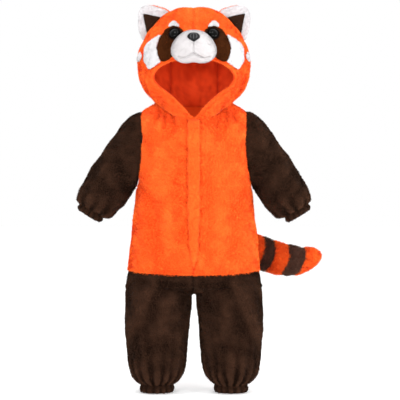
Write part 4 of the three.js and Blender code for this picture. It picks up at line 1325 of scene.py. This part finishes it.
# %% [markdown]
# ## The hood's turned edge
# A face opening with a raw edge would fray, so its cloth is folded back and stitched down. The band
# is trimmed from the hood's own surface. A bevel could round its edge, but it wouldn't turn the pile
# inwards, so a half round is swept along the opening and the pile grows out of that.

# %% Turned edge
ROLL = 1.1              # round of the turned ground
ROLL_BACK = 3.4         # the ground's edge is this far back from the opening, so that the pile reaches it
ROLL_STEPS, ROLL_POINTS = 9, 221        # points round it and along it
SMOOTHINGS = 6          # times that the way out is evened along it
STITCH_BACK = 10.0      # a line of stitches along the band, this far from the opening
STITCH_DEPTH, STITCH_WIDTH = 1.5, 2.2


def front_of(form, across, up):
    """The first point of a form behind each point of the front view, and the way out of it."""
    hits = [form.ray_cast(Vector((x, RAY_START, z)), Vector((0, 1, 0))) for x, z in zip(across, up)]
    return np.array([hit[0] for hit in hits]), np.array([hit[1] for hit in hits])


def grown(outline, distance):
    run = np.roll(outline, -1, 0) - np.roll(outline, 1, 0)
    out = unit(np.stack([run[:, 1], -run[:, 0]], -1))
    area = (outline[:, 0] * np.roll(outline[:, 1], -1) - np.roll(outline[:, 0], -1) * outline[:, 1]).sum()
    return outline + out * distance * np.sign(area)


def edge_roll(form):
    """The roll of cloth along the opening: a half round swept along it."""
    line = grown(opening, ROLL_BACK)
    line = evenly(np.vstack([line, line[:1]]), ROLL_POINTS)[:-1]
    point, way = front_of(form, line[:, 0], line[:, 1])
    for _ in range(SMOOTHINGS):
        way = unit(way + np.roll(way, 1, 0) + np.roll(way, -1, 0))
    run = unit(np.roll(point, -1, 0) - np.roll(point, 1, 0))
    inward = np.cross(way, run)
    middle = point.mean(0)
    inward *= np.sign(((middle - point) * inward).sum(1, keepdims=True))
    turns = np.linspace(0, math.pi, ROLL_STEPS)
    centre = point + way * (TURNED_RISE - PILE - ROLL)
    out = [way * math.cos(turn) + inward * math.sin(turn) for turn in turns]
    rows, columns = len(turns), len(line)
    out = np.array(out).reshape(-1, 3)
    points = np.tile(centre, (rows, 1)) + out * (ROLL + PILE)
    nap = np.tile(run, (rows, 1)) * 0.5 + np.cross(out, np.tile(run, (rows, 1)))
    faces = facing_out(points, grid_faces(rows, columns, closed=True), out)
    flat = np.zeros((len(points), 1))
    return Cloth(np.hstack([points, out, unit(nap), flat + FAR, flat, flat]), faces)


# %% Band along the opening
band = hood.cloth(2.8, places=(0, 5), angles=(-1.62, 1.62))
band_inside = inside_by(edge_band, band.point[:, 0], band.point[:, 2])
band.data[:, 10] = hood_lift(band.point) + swells(band.point, (0.3, 40, 91))
into_neck(band, 2 * NECK_TUCK)
band = trim(band, np.minimum(band_inside, -band.point[:, 1]))
from_opening = -inside_by(opening, band.point[:, 0], band.point[:, 2])
stitch = 1 + swells(band.point, (0.25, 9, 92))
band.data[:, 10] -= STITCH_DEPTH * stitch * fading(from_opening - STITCH_BACK, STITCH_WIDTH)
band = trim(band, from_opening - ROLL_BACK, rounds=False)
lip = join(band, edge_roll(hood_form))
lip.data[:len(band.data), 10] += TURNED_RISE + pinched(band, 1.4, 3.0)
for (name, side), seed in zip(SIDES, (93, 94)):
    half = trim(lip, side * lip.point[:, 0] - SEAM / 2, rounds=False)
    sew("hood_edge_" + name, half, half.wave, ORANGE, "orange_plush", seed,
        under=PILE + 0.9, tuft={"length": 3.8, "density": 0.9})
print("hood:", sheets[-4:])

# %% [markdown]
# ## Lining
# Inside, the hood has a thin smooth lining in three panels, so its two seams show as straight
# dark lines at the back of the opening. Shading alone could draw those lines, but the lining also
# hangs loose between them. So it is a wall of its own with no pile, which sinks at its seams. Its
# colour also has painted shade along the seams and painted light on its folds.

# %% Lining
LINING_SEAM = 56        # its seams are this far from the middle
LINING_EASE = 1.5       # how far it stands off the plush between its seams
FRONT_FOOT = 60         # in front the centre panel starts at this height
LINING_FOLDS = [
    (-1, -32, 18, -28, 96, 7, -2.2), (-1, 24, 14, 30, 90, 8, -2.0), (-1, 8, 16, 10, 84, 5, -1.6),
    (-1, -70, 30, -76, 90, 7, -2.0), (-1, 72, 28, 78, 96, 7, -2.0), (-1, -12, 20, -14, 60, 6, -1.6),
    (-1, 44, 20, 40, 80, 6, -1.2), (-1, -46, 30, -44, 88, 6, -1.1),
]


def line_with(node, cloth, seed):
    lift = LINING_OUT + cloth.wave - LINING_EASE * (1 - fading(cloth.edge, 3.0))
    lift += swells(cloth.point, (0.45, 34, seed))
    points, faces = wall(cloth.point + cloth.way * lift[:, None],
                         cloth.point + cloth.way * (lift - LINING)[:, None], cloth.faces)
    thing = make_object(node + "_cloth", points, faces)
    # Painted light and shade: the lining is paler where its folds bulge inwards and darker near its seams,
    # with some random tone.
    raised = 0.45 - 0.25 * cloth.wave - fading(cloth.edge, 4.5)
    raised += swells(cloth.point * [1, 1, 0.35], (0.2, 12, seed + 7))
    note(thing, "raised", np.tile(np.clip(raised, 0, 1), 2))
    thing.data.materials.append(LINING_CLOTH)
    stand_in(thing, node)
    record(node, cloth.point, cloth.faces, faces)


# %% Three panels of lining
inner_hood = hood.cloth(4.6, places=(0.02, 12))
inner_hood.data[:, 10] = hood_lift(inner_hood.point)
inner_hood.data[:, 10] += np.minimum(0, fold_rise(LINING_FOLDS, inner_hood.point))
inner_hood.data[:, 10] -= SEAM_DEPTH * fading(inner_hood.point[:, 0], SEAM_WIDTH)
into_neck(inner_hood, 3 * NECK_TUCK)
across, up = inner_hood.point[:, 0], inner_hood.point[:, 2]
inner_hood = trim(inner_hood, np.maximum(-inside_by(opening, across, up) - ROLL_BACK,
                                         inner_hood.point[:, 1]), rounds=False)


def centre_panel(point):
    """Above 0 in the centre panel, which in front stops above the face."""
    in_front = np.minimum(-point[:, 1], FRONT_FOOT - point[:, 2])
    return np.minimum(LINING_SEAM - np.abs(point[:, 0]), -in_front)


centre = trim(inner_hood, centre_panel(inner_hood.point))
line_with("hood_lining_centre", centre, 101)
for name, side in SIDES:
    half = trim(inner_hood, -centre_panel(inner_hood.point) - SEAM)
    half = trim(half, side * half.point[:, 0] - SEAM / 2, rounds=False)
    line_with("hood_lining_" + name, half, 102 + side)
print("lining:", sheets[-3:])

# %% [markdown]
# ## Face patches
# Brows, eye patches, cheeks and side spots are cut from shorter plush and sewn flat onto the
# hood. They could be colours on the hood, but each stands a little proud of it and has an edge. So
# each is the hood's own grid trimmed to an outline and lifted, with round shoulders.

# %% Patches
EYE_PATCH_PLUSH = Plush("cheek_brown_plush", colour(0.018, 0.0045, 0.0012), colour(0.062, 0.0165, 0.0040),
                        colour(0.17, 0.052, 0.014), 0.0, colour(0.7, 0.35, 0.2), black_round_eye,
                        length=3.2, width=0.85, density=1.0)
face = hood.cloth(2.1, places=(2.0, 10.5), angles=(-1.75, 1.75))
face.data[:, 10] = hood_lift(face.point)
face = trim(face, -inside_by(edge_band, face.point[:, 0], face.point[:, 2]) - SEAM, rounds=False)
face_across, face_up = face.point[:, 0], face.point[:, 2]
brow_outline = smooth_outline(BROW, 60)
eye_patch_outline = smooth_outline(EYE_PATCH)
cheek_outline = smooth_outline(CHEEK)
spot_outline = smooth_outline(SIDE_SPOT, 60)


def patch_field(outline, neighbour=None):
    """Inside an outline on the wearer's left and clear of the neighbour that lies over it."""
    field = inside_by(outline, face_across, face_up)
    if neighbour is not None:
        field = np.minimum(field, -inside_by(neighbour, face_across, face_up) - SEAM)
    return field


def wavy(field, seed):
    return field + swells(face.point, (0.5, 11, seed))


# %% The four patches of a side
side_view = np.where(face_across > 60, inside_by(spot_outline, face.point[:, 1], face_up), -FAR)
patches = [
    ("brow", wavy(patch_field(brow_outline), 111), WHITE, "white_plush", (0.026, 0.018), None),
    ("eye_patch", wavy(patch_field(eye_patch_outline, brow_outline), 112), EYE_PATCH_PLUSH,
     "cheek_brown_plush", (0.06, 0.085), 0.0039),
    ("cheek", wavy(patch_field(cheek_outline, eye_patch_outline), 113), WHITE, "white_plush",
     (0.05, 0.08), 0.0030),
    ("side_spot", wavy(side_view, 114), WHITE, "white_plush", (0.04, 0.022), None),
]
for number, (name, field, finish, slot, flat, area) in enumerate(patches):
    piece = trim(face, field)
    lift = piece.wave + SEAM + PATCH * domed(piece)
    for shift, (side_name, side) in enumerate(SIDES):
        sew(f"{name}_{side_name}", piece.on(side), lift, finish, slot, 120 + 10 * number + shift,
            pile_height=PATCH_PILE, under=PATCH)
print("patches:", sheets[-8:])

# %% [markdown]
# ## Muzzle, nose and eyes
# The muzzle is a stuffed dome of short plush. Its mouth is a stitched crease, pulled in through
# the stuffing, and a short seam runs from the nose down to it. The nose is a small padded shape
# with raised nostril lines, and the eyes are glossy black buttons. Squashed balls would come close
# to all of them, but their outlines are not round, so closed outlines are swept into domes.

# %% Outlines swept into domes
class Dome(Surface):
    """A surface from rows and a closed outline, seen from its own middle."""

    def __init__(self, table, rule, middle):
        super().__init__(table, rule)
        self.middle = np.array(middle, float)

    def cloth(self, grid, places=None, angles=None):
        piece = super().cloth(grid, places, angles)
        inward = ((piece.point - self.middle) * piece.way).sum(1) < 0
        piece.data[inward, 3:6] *= -1
        piece.faces = facing_out(piece.point, piece.faces, piece.way)
        return piece


def along_outline(outline, angle):
    """The point of a closed outline at an angle, where a whole turn is once round it."""
    count = len(outline)
    place = (angle / math.tau % 1) * count
    low = place.astype(int) % count
    part = (place % 1)[:, None]
    return outline[low] * (1 - part) + outline[(low + 1) % count] * part


# %% Muzzle
muzzle_outline = smooth_outline(MUZZLE_OUTLINE, 160)
nose_outline = smooth_outline(NOSE, 96)
ear_outline = smooth_outline(EAR, 160)


def muzzle_point(row, angle):
    flat = along_outline(muzzle_outline, angle)
    return np.stack([flat[:, 0] * row[:, 1], row[:, 0], row[:, 3] + flat[:, 1] * row[:, 2]], -1)


NOSE_MIDDLE = np.array([0.0, 138.5])
NOSE_ROWS = np.array([[-149, 0.9], [-154, 1.0], [-160, 1.02], [-165, 0.96], [-168.5, 0.78],
                      [-170.5, 0.48], [-171.2, 0.2], [-171.4, 0.02]])


def nose_point(row, angle):
    flat = NOSE_MIDDLE + (along_outline(nose_outline, angle) - NOSE_MIDDLE) * row[:, 1:2]
    return np.stack([flat[:, 0], row[:, 0], flat[:, 1]], -1)


def groove(lines, point, width, rise):
    """A crease or ridge along lines in the front view."""
    away = np.min([from_run(point, start, end) for line in lines for start, end in zip(line, line[1:])],
                  axis=0)
    return rise * fading(away, width)


MOUTH = [(0, 101), (6, 98.5), (13, 94.6), (20, 92.0), (27, 91.6), (34, 94.5)]
MOUTH_LINES = [MOUTH, [(-x, z) for x, z in MOUTH]]
LIP_SEAM = [[(0, 127), (0, 101)]]
CHEEK_SWELLS = [[(26, 108), (30, 116)], [(-26, 108), (-30, 116)]]
MUZZLE_FRONT = -128     # the mouth is only in front of this
MUZZLE_PILE = 1.6
muzzle_dome = Dome(MUZZLE, muzzle_point, (0, -115, 121))
cheeky = muzzle_dome.cloth(2.0)
cheeky = trim(cheeky, outside_by(hood_form, cheeky.point) - PATCH - 0.4, rounds=False)
in_front = cheeky.point[:, 1] < MUZZLE_FRONT
lift = swells(cheeky.point, (0.35, 40, 201))
lift += in_front * (groove(MOUTH_LINES, cheeky.point, 2.4, -4.2)
                    + groove(LIP_SEAM, cheeky.point, 1.8, -2.0)
                    + groove(CHEEK_SWELLS, cheeky.point, 16, 1.2))
stuff("muzzle", cheeky, lift, SHADED_MUZZLE_WHITE, "white_plush", 202, MUZZLE_PILE,
      {"length": 2.2, "width": 0.75, "density": 1.3, "lean": 55, "spread": 0.08})

# %% Nose and eyes
NOSTRILS = [[(1.6, 144), (5.6, 141.5), (7.0, 138), (5.2, 134.6)], [(0, 143.5), (0, 133)]]
NOSTRILS.append([(-x, z) for x, z in NOSTRILS[0]])
nose_dome = Dome(NOSE_ROWS, nose_point, (0, -150, 138))
button = nose_dome.cloth(0.7)
raised = groove(NOSTRILS, button.point, 0.6, 1.0)
nose = hard_form("nose", button, 0.8 * raised, NOSE_BLACK, "nose_form")
# The raised lines are noted for the nose's painted highlight.
note(nose, "line", np.concatenate([raised, np.zeros(len(nose.data.vertices) - len(raised))]))

EYE_RADIUS = 10.2
EYE_CROWN, EYE_TOP = 17.0, 6.4      # a button has a short wall and a shallow round crown
EYE_WALL = [[1, -6], [1.02, -2], [1.01, 1.6], [0.995, 2.6]]
EYE_ROWS = np.array(EYE_WALL + [
    [share, EYE_TOP - EYE_CROWN + math.sqrt(EYE_CROWN ** 2 - (share * EYE_RADIUS) ** 2)]
    for share in (0.96, 0.9, 0.8, 0.7, 0.6, 0.5, 0.4, 0.3, 0.2, 0.1, 0.01)])
TIP_BACK, TURN_OUT = math.radians(-28), math.radians(24)


def turned(first, second, angle):
    """Two of a point's three numbers, turned round the axis of the third."""
    return (first * math.cos(angle) - second * math.sin(angle),
            first * math.sin(angle) + second * math.cos(angle))


def eye_point(row, angle):
    x, y, z = EYE_RADIUS * row[:, 0] * np.cos(angle), -row[:, 1], EYE_RADIUS * row[:, 0] * np.sin(angle)
    y, z = turned(y, z, TIP_BACK)
    x, y = turned(x, y, TURN_OUT)
    return np.stack([x, y, z], -1) + EYE_PLACE


eye = Dome(EYE_ROWS, eye_point, EYE_PLACE).cloth(0.9)
for name, side in SIDES:
    hard_form("eye_" + name, eye.on(side), np.zeros(len(eye.point)), EYE_BLACK,
              f"eye_{name}_button")
print("face:", sheets[-4:])

# %% [markdown]
# ## Ears
# An ear is two plush halves sewn at the rim and turned out, lightly stuffed: white in front and
# orange behind, with a dark triangle of plush on the white. One thick plate would show no rim, so
# each half is a shallow dome. The orange one is a little higher, so that it shows as an edge.

# %% Ears
EAR_PLANE, EAR_MIDDLE, EAR_PILE = 11, np.array([94.0, 186.0]), 2.4
EAR_FOOT = np.array([80.0, EAR_PLANE, 165.0])                   # the nap runs away from here
BACK_SMALLER, BACK_MOVED = [0.94, 1, 0.94], [-3.6, 0, 3.0]      # the orange half against the white
EAR_ROWS = np.array([[1, 0.15], [1.0, 1.5], [0.98, 4], [0.95, 5.8], [0.88, 7.5], [0.7, 8.6], [0.45, 9.1],
                     [0.2, 9.2], [0.01, 9.2]])


def ear_rule(facing):
    def ear_point(row, angle):
        flat = EAR_MIDDLE + (along_outline(ear_outline, angle) - EAR_MIDDLE) * row[:, :1]
        return np.stack([flat[:, 0], EAR_PLANE + facing * row[:, 1], flat[:, 1]], -1)
    return ear_point


def ear_half(facing, grid):
    dome = Dome(EAR_ROWS, ear_rule(facing), (EAR_MIDDLE[0], EAR_PLANE, EAR_MIDDLE[1]))
    half = dome.cloth(grid)
    outward = half.point - EAR_FOOT
    half.data[:, 6:9] = unit(outward - half.way * (outward * half.way).sum(1, keepdims=True))
    return trim(half, outside_by(hood_form, half.point) - SEAM, rounds=False)


ear_front, ear_back, flat_ear = ear_half(-1, 2.6), ear_half(1, 2.6), ear_half(-1, 1.8)
back_middle = np.array([*EAR_MIDDLE, EAR_PLANE])[[0, 2, 1]]
ear_back.data[:, :3] = back_middle + (ear_back.point - back_middle) * BACK_SMALLER + BACK_MOVED
triangle = trim(flat_ear, inside_by(smooth_outline(EAR_TRIANGLE, 90), *flat_ear.point[:, [0, 2]].T))
for number, (name, side) in enumerate(SIDES):
    front, behind, dark = ear_front.on(side), ear_back.on(side), triangle.on(side)
    stuff("ear_front_" + name, front, swells(front.point, (0.4, 30, 211 + number)), WHITE,
          "white_plush", 212 + number, EAR_PILE, {"length": 3.2, "width": 0.85})
    stuff("ear_back_" + name, behind, swells(behind.point, (0.4, 30, 215 + number)), ORANGE,
          "orange_plush", 216 + number, EAR_PILE, {"length": 3.4, "density": 0.9})
    sew("ear_inner_" + name, dark, 0.2 + 1.7 * domed(dark, 2.5), DARK_BROWN, "dark_brown_plush",
        220 + number, pile_height=1.5, under=1.7,
        tuft={"length": 2.2, "width": 0.8, "density": 1.1})
print("ears:", sheets[-6:])

# %% [markdown]
# ## Tail
# The tail is a stuffed tube of seven bands sewn end to end. Its plush is longer than the rest. One
# tube with painted rings could stand for it, but its seams would not pull in. So each band is a
# closed form of its own, a little slimmer where it is sewn to the next.

# %% Tail
TAIL_PILE = 4.6
TIP_FROM, TIP_OVER = 215, 40            # the plush gets fuller from here on, in full this much further
TIP_FULL, TIP_UP = 2.2, 3.0             # how much thicker and higher it is there
BAND_LEAN = 5.0         # how far the bands' seams lean back towards the root underneath
BAND_BOW = 18.0         # they bow towards the tip in front and away from it behind
BAND_PINCH, PINCH_WIDTH = 1.6, 4.5      # how far they pull in, and over what width
TAIL_END, END_FADE = 11, 30             # the last row, and the stretch before it that isn't moved
BANDS = [("tail_root", 0, 3, ORANGE), ("tail_ring_1", 3, 4, TAIL_BROWN), ("tail_band_1", 4, 5, ORANGE),
         ("tail_ring_2", 5, 6, TAIL_BROWN), ("tail_band_2", 6, 7, ORANGE),
         ("tail_ring_3", 7, 8, TAIL_BROWN), ("tail_tip", 8, 11, ORANGE)]
for number, (name, first, last, finish) in enumerate(BANDS):
    tube = tail.cloth(3.8, places=(first, last))
    ends = [tail.at(np.array([float(place)]), np.array([0.0])) for place in (first, last)]
    from_start, from_end = [np.abs((tube.point - end) @ unit(tube.nap.mean(0))) for end in ends]
    near, fade = np.minimum(from_start, from_end), 1.0
    if last == TAIL_END:
        near, fade = from_start, np.clip(from_end / END_FADE, 0, 1)
    if first == 0:
        tube = trim(tube, outside_by(bodice_form, tube.point) - SEAM, rounds=False)
        near = np.full(len(tube.point), FAR)
    swell = swells(tube.point, (0.9, 42, 231)) - BAND_PINCH * fading(near, PINCH_WIDTH)
    slide = BAND_LEAN * np.minimum(tube.way[:, 2], 0) - BAND_BOW * tube.way[:, 1]
    tube.data[:, 0:3] += tube.nap * (slide * fade)[:, None]
    full = np.clip((tube.point[:, 0] - TIP_FROM) / TIP_OVER, 0, 1)
    swell += TIP_FULL * full
    tube.data[:, 2] += TIP_UP * full
    stuff(name, tube, swell, finish, "orange_plush" if finish is ORANGE else "tail_brown_plush",
          240 + number, TAIL_PILE,
          {"length": 7.5, "width": 1.15, "density": 0.72, "lean": 44, "reach": 1.25, "spread": 0.24})
print("tail:", sheets[-7:])
print("tufts in all:", blades_made, "triangles in walls and forms:", sum(row[2] for row in sheets))

# %% [markdown]
# ## Floor, light and camera
# The photograph is a plain studio shot: a white ground, and soft light from all sides that is a
# little stronger in front. One bright sky could light it, but then creases and undersides would
# not read. So the sky is white behind the suit and dimmer in front of it, and five soft boxes add
# the rest. The camera looks level along +Y, at the height of the middle of the suit.

# %% Floor
FLOOR, FLOOR_RADIUS, FLOOR_GLOW = -0.6255, 18.0, 0.36
bpy.ops.mesh.primitive_circle_add(vertices=96, radius=FLOOR_RADIUS, fill_type="NGON",
                                  location=(0, 0, FLOOR))
floor = bpy.context.object
floor.name = "floor"
paper = Recipe("studio_floor")
floor.data.materials.append(paper.surface(
    paper.blend(paper.noise(900, 2.0), colour(0.90, 0.90, 0.90), colour(0.93, 0.93, 0.93)),
    Emission_Color=colour(1, 1, 1), Emission_Strength=FLOOR_GLOW))
floor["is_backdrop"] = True

# %% Sky and lamps
DIM_SKY, WHITE_SKY = (0.30, colour(0.58, 0.58, 0.58)), (0.72, colour(1, 1, 1))
sky = Recipe("studio", bpy.data.worlds.new("studio"), "ShaderNodeOutputWorld")
towards_back = sky.axes(sky.place("Generated"))["Y"] * 0.5 + 0.5
tone = sky.node("ShaderNodeValToRGB", {"stops": (DIM_SKY, WHITE_SKY)}, {"Fac": towards_back})["Color"]
glow = sky.node("ShaderNodeBackground", None, {"Color": tone, "Strength": 1.0})["Background"]
bpy.context.scene.world = sky.finish(glow)

# Name, place, what it is aimed at, size in metres and power in watts
LAMPS = [
    ("left_box", (-1.25, -2.9, 0.12), (0, 0, -0.15), 0.66, 37),
    ("right_box", (1.25, -2.9, 0.12), (0, 0, -0.15), 0.66, 33),
    ("side_box", (2.3, -0.9, 0.1), (0.2, 0.1, -0.3), 1.0, 26),
    ("top_left_box", (-0.8, -1.5, 2.2), (0, 0, -0.1), 0.5, 25),
    ("top_right_box", (0.7, -1.5, 2.2), (0, 0, -0.1), 0.5, 19),
]
for name, place, aim, size, power in LAMPS:
    box = bpy.data.lights.new(name, "AREA")
    box.shape, box.size, box.energy = "SQUARE", size, power
    lamp = bpy.data.objects.new(name, box)
    lamp.location = place
    lamp.rotation_euler = (Vector(aim) - Vector(place)).to_track_quat("-Z", "Y").to_euler()
    bpy.context.scene.collection.objects.link(lamp)
print("lamps:", len(LAMPS), "with", sum(row[4] for row in LAMPS), "W in all")

# %% Camera
CAMERA_AWAY, VIEW_WIDTH, SENSOR = 3.0, 0.88, 36     # metres, metres at the suit, millimetres
camera = bpy.data.objects.new("camera", bpy.data.cameras.new("camera"))
camera.location = (0.0132, -CAMERA_AWAY, -0.2024)
camera.rotation_euler = (math.pi / 2, 0, 0)
camera.data.sensor_width = SENSOR
camera.data.lens = SENSOR * CAMERA_AWAY / VIEW_WIDTH
bpy.context.scene.collection.objects.link(camera)
bpy.context.scene.camera = camera
bpy.context.scene.view_settings.view_transform = "Standard"
print("lens:", round(camera.data.lens, 1), "mm")

# %% [markdown]
# ## The end
# Fabric may stand a little proud of the solids, and no more. The two boxes, before and after the
# cloth was put on, show how far it does.

# %% Sizes, and the end
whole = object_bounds()
past = [abs(b - a) / MM for solid, cloth in zip(SOLIDS_BOX, whole) for a, b in zip(solid, cloth)]
print("the two boxes differ by", round(max(past), 1), "mm at most")
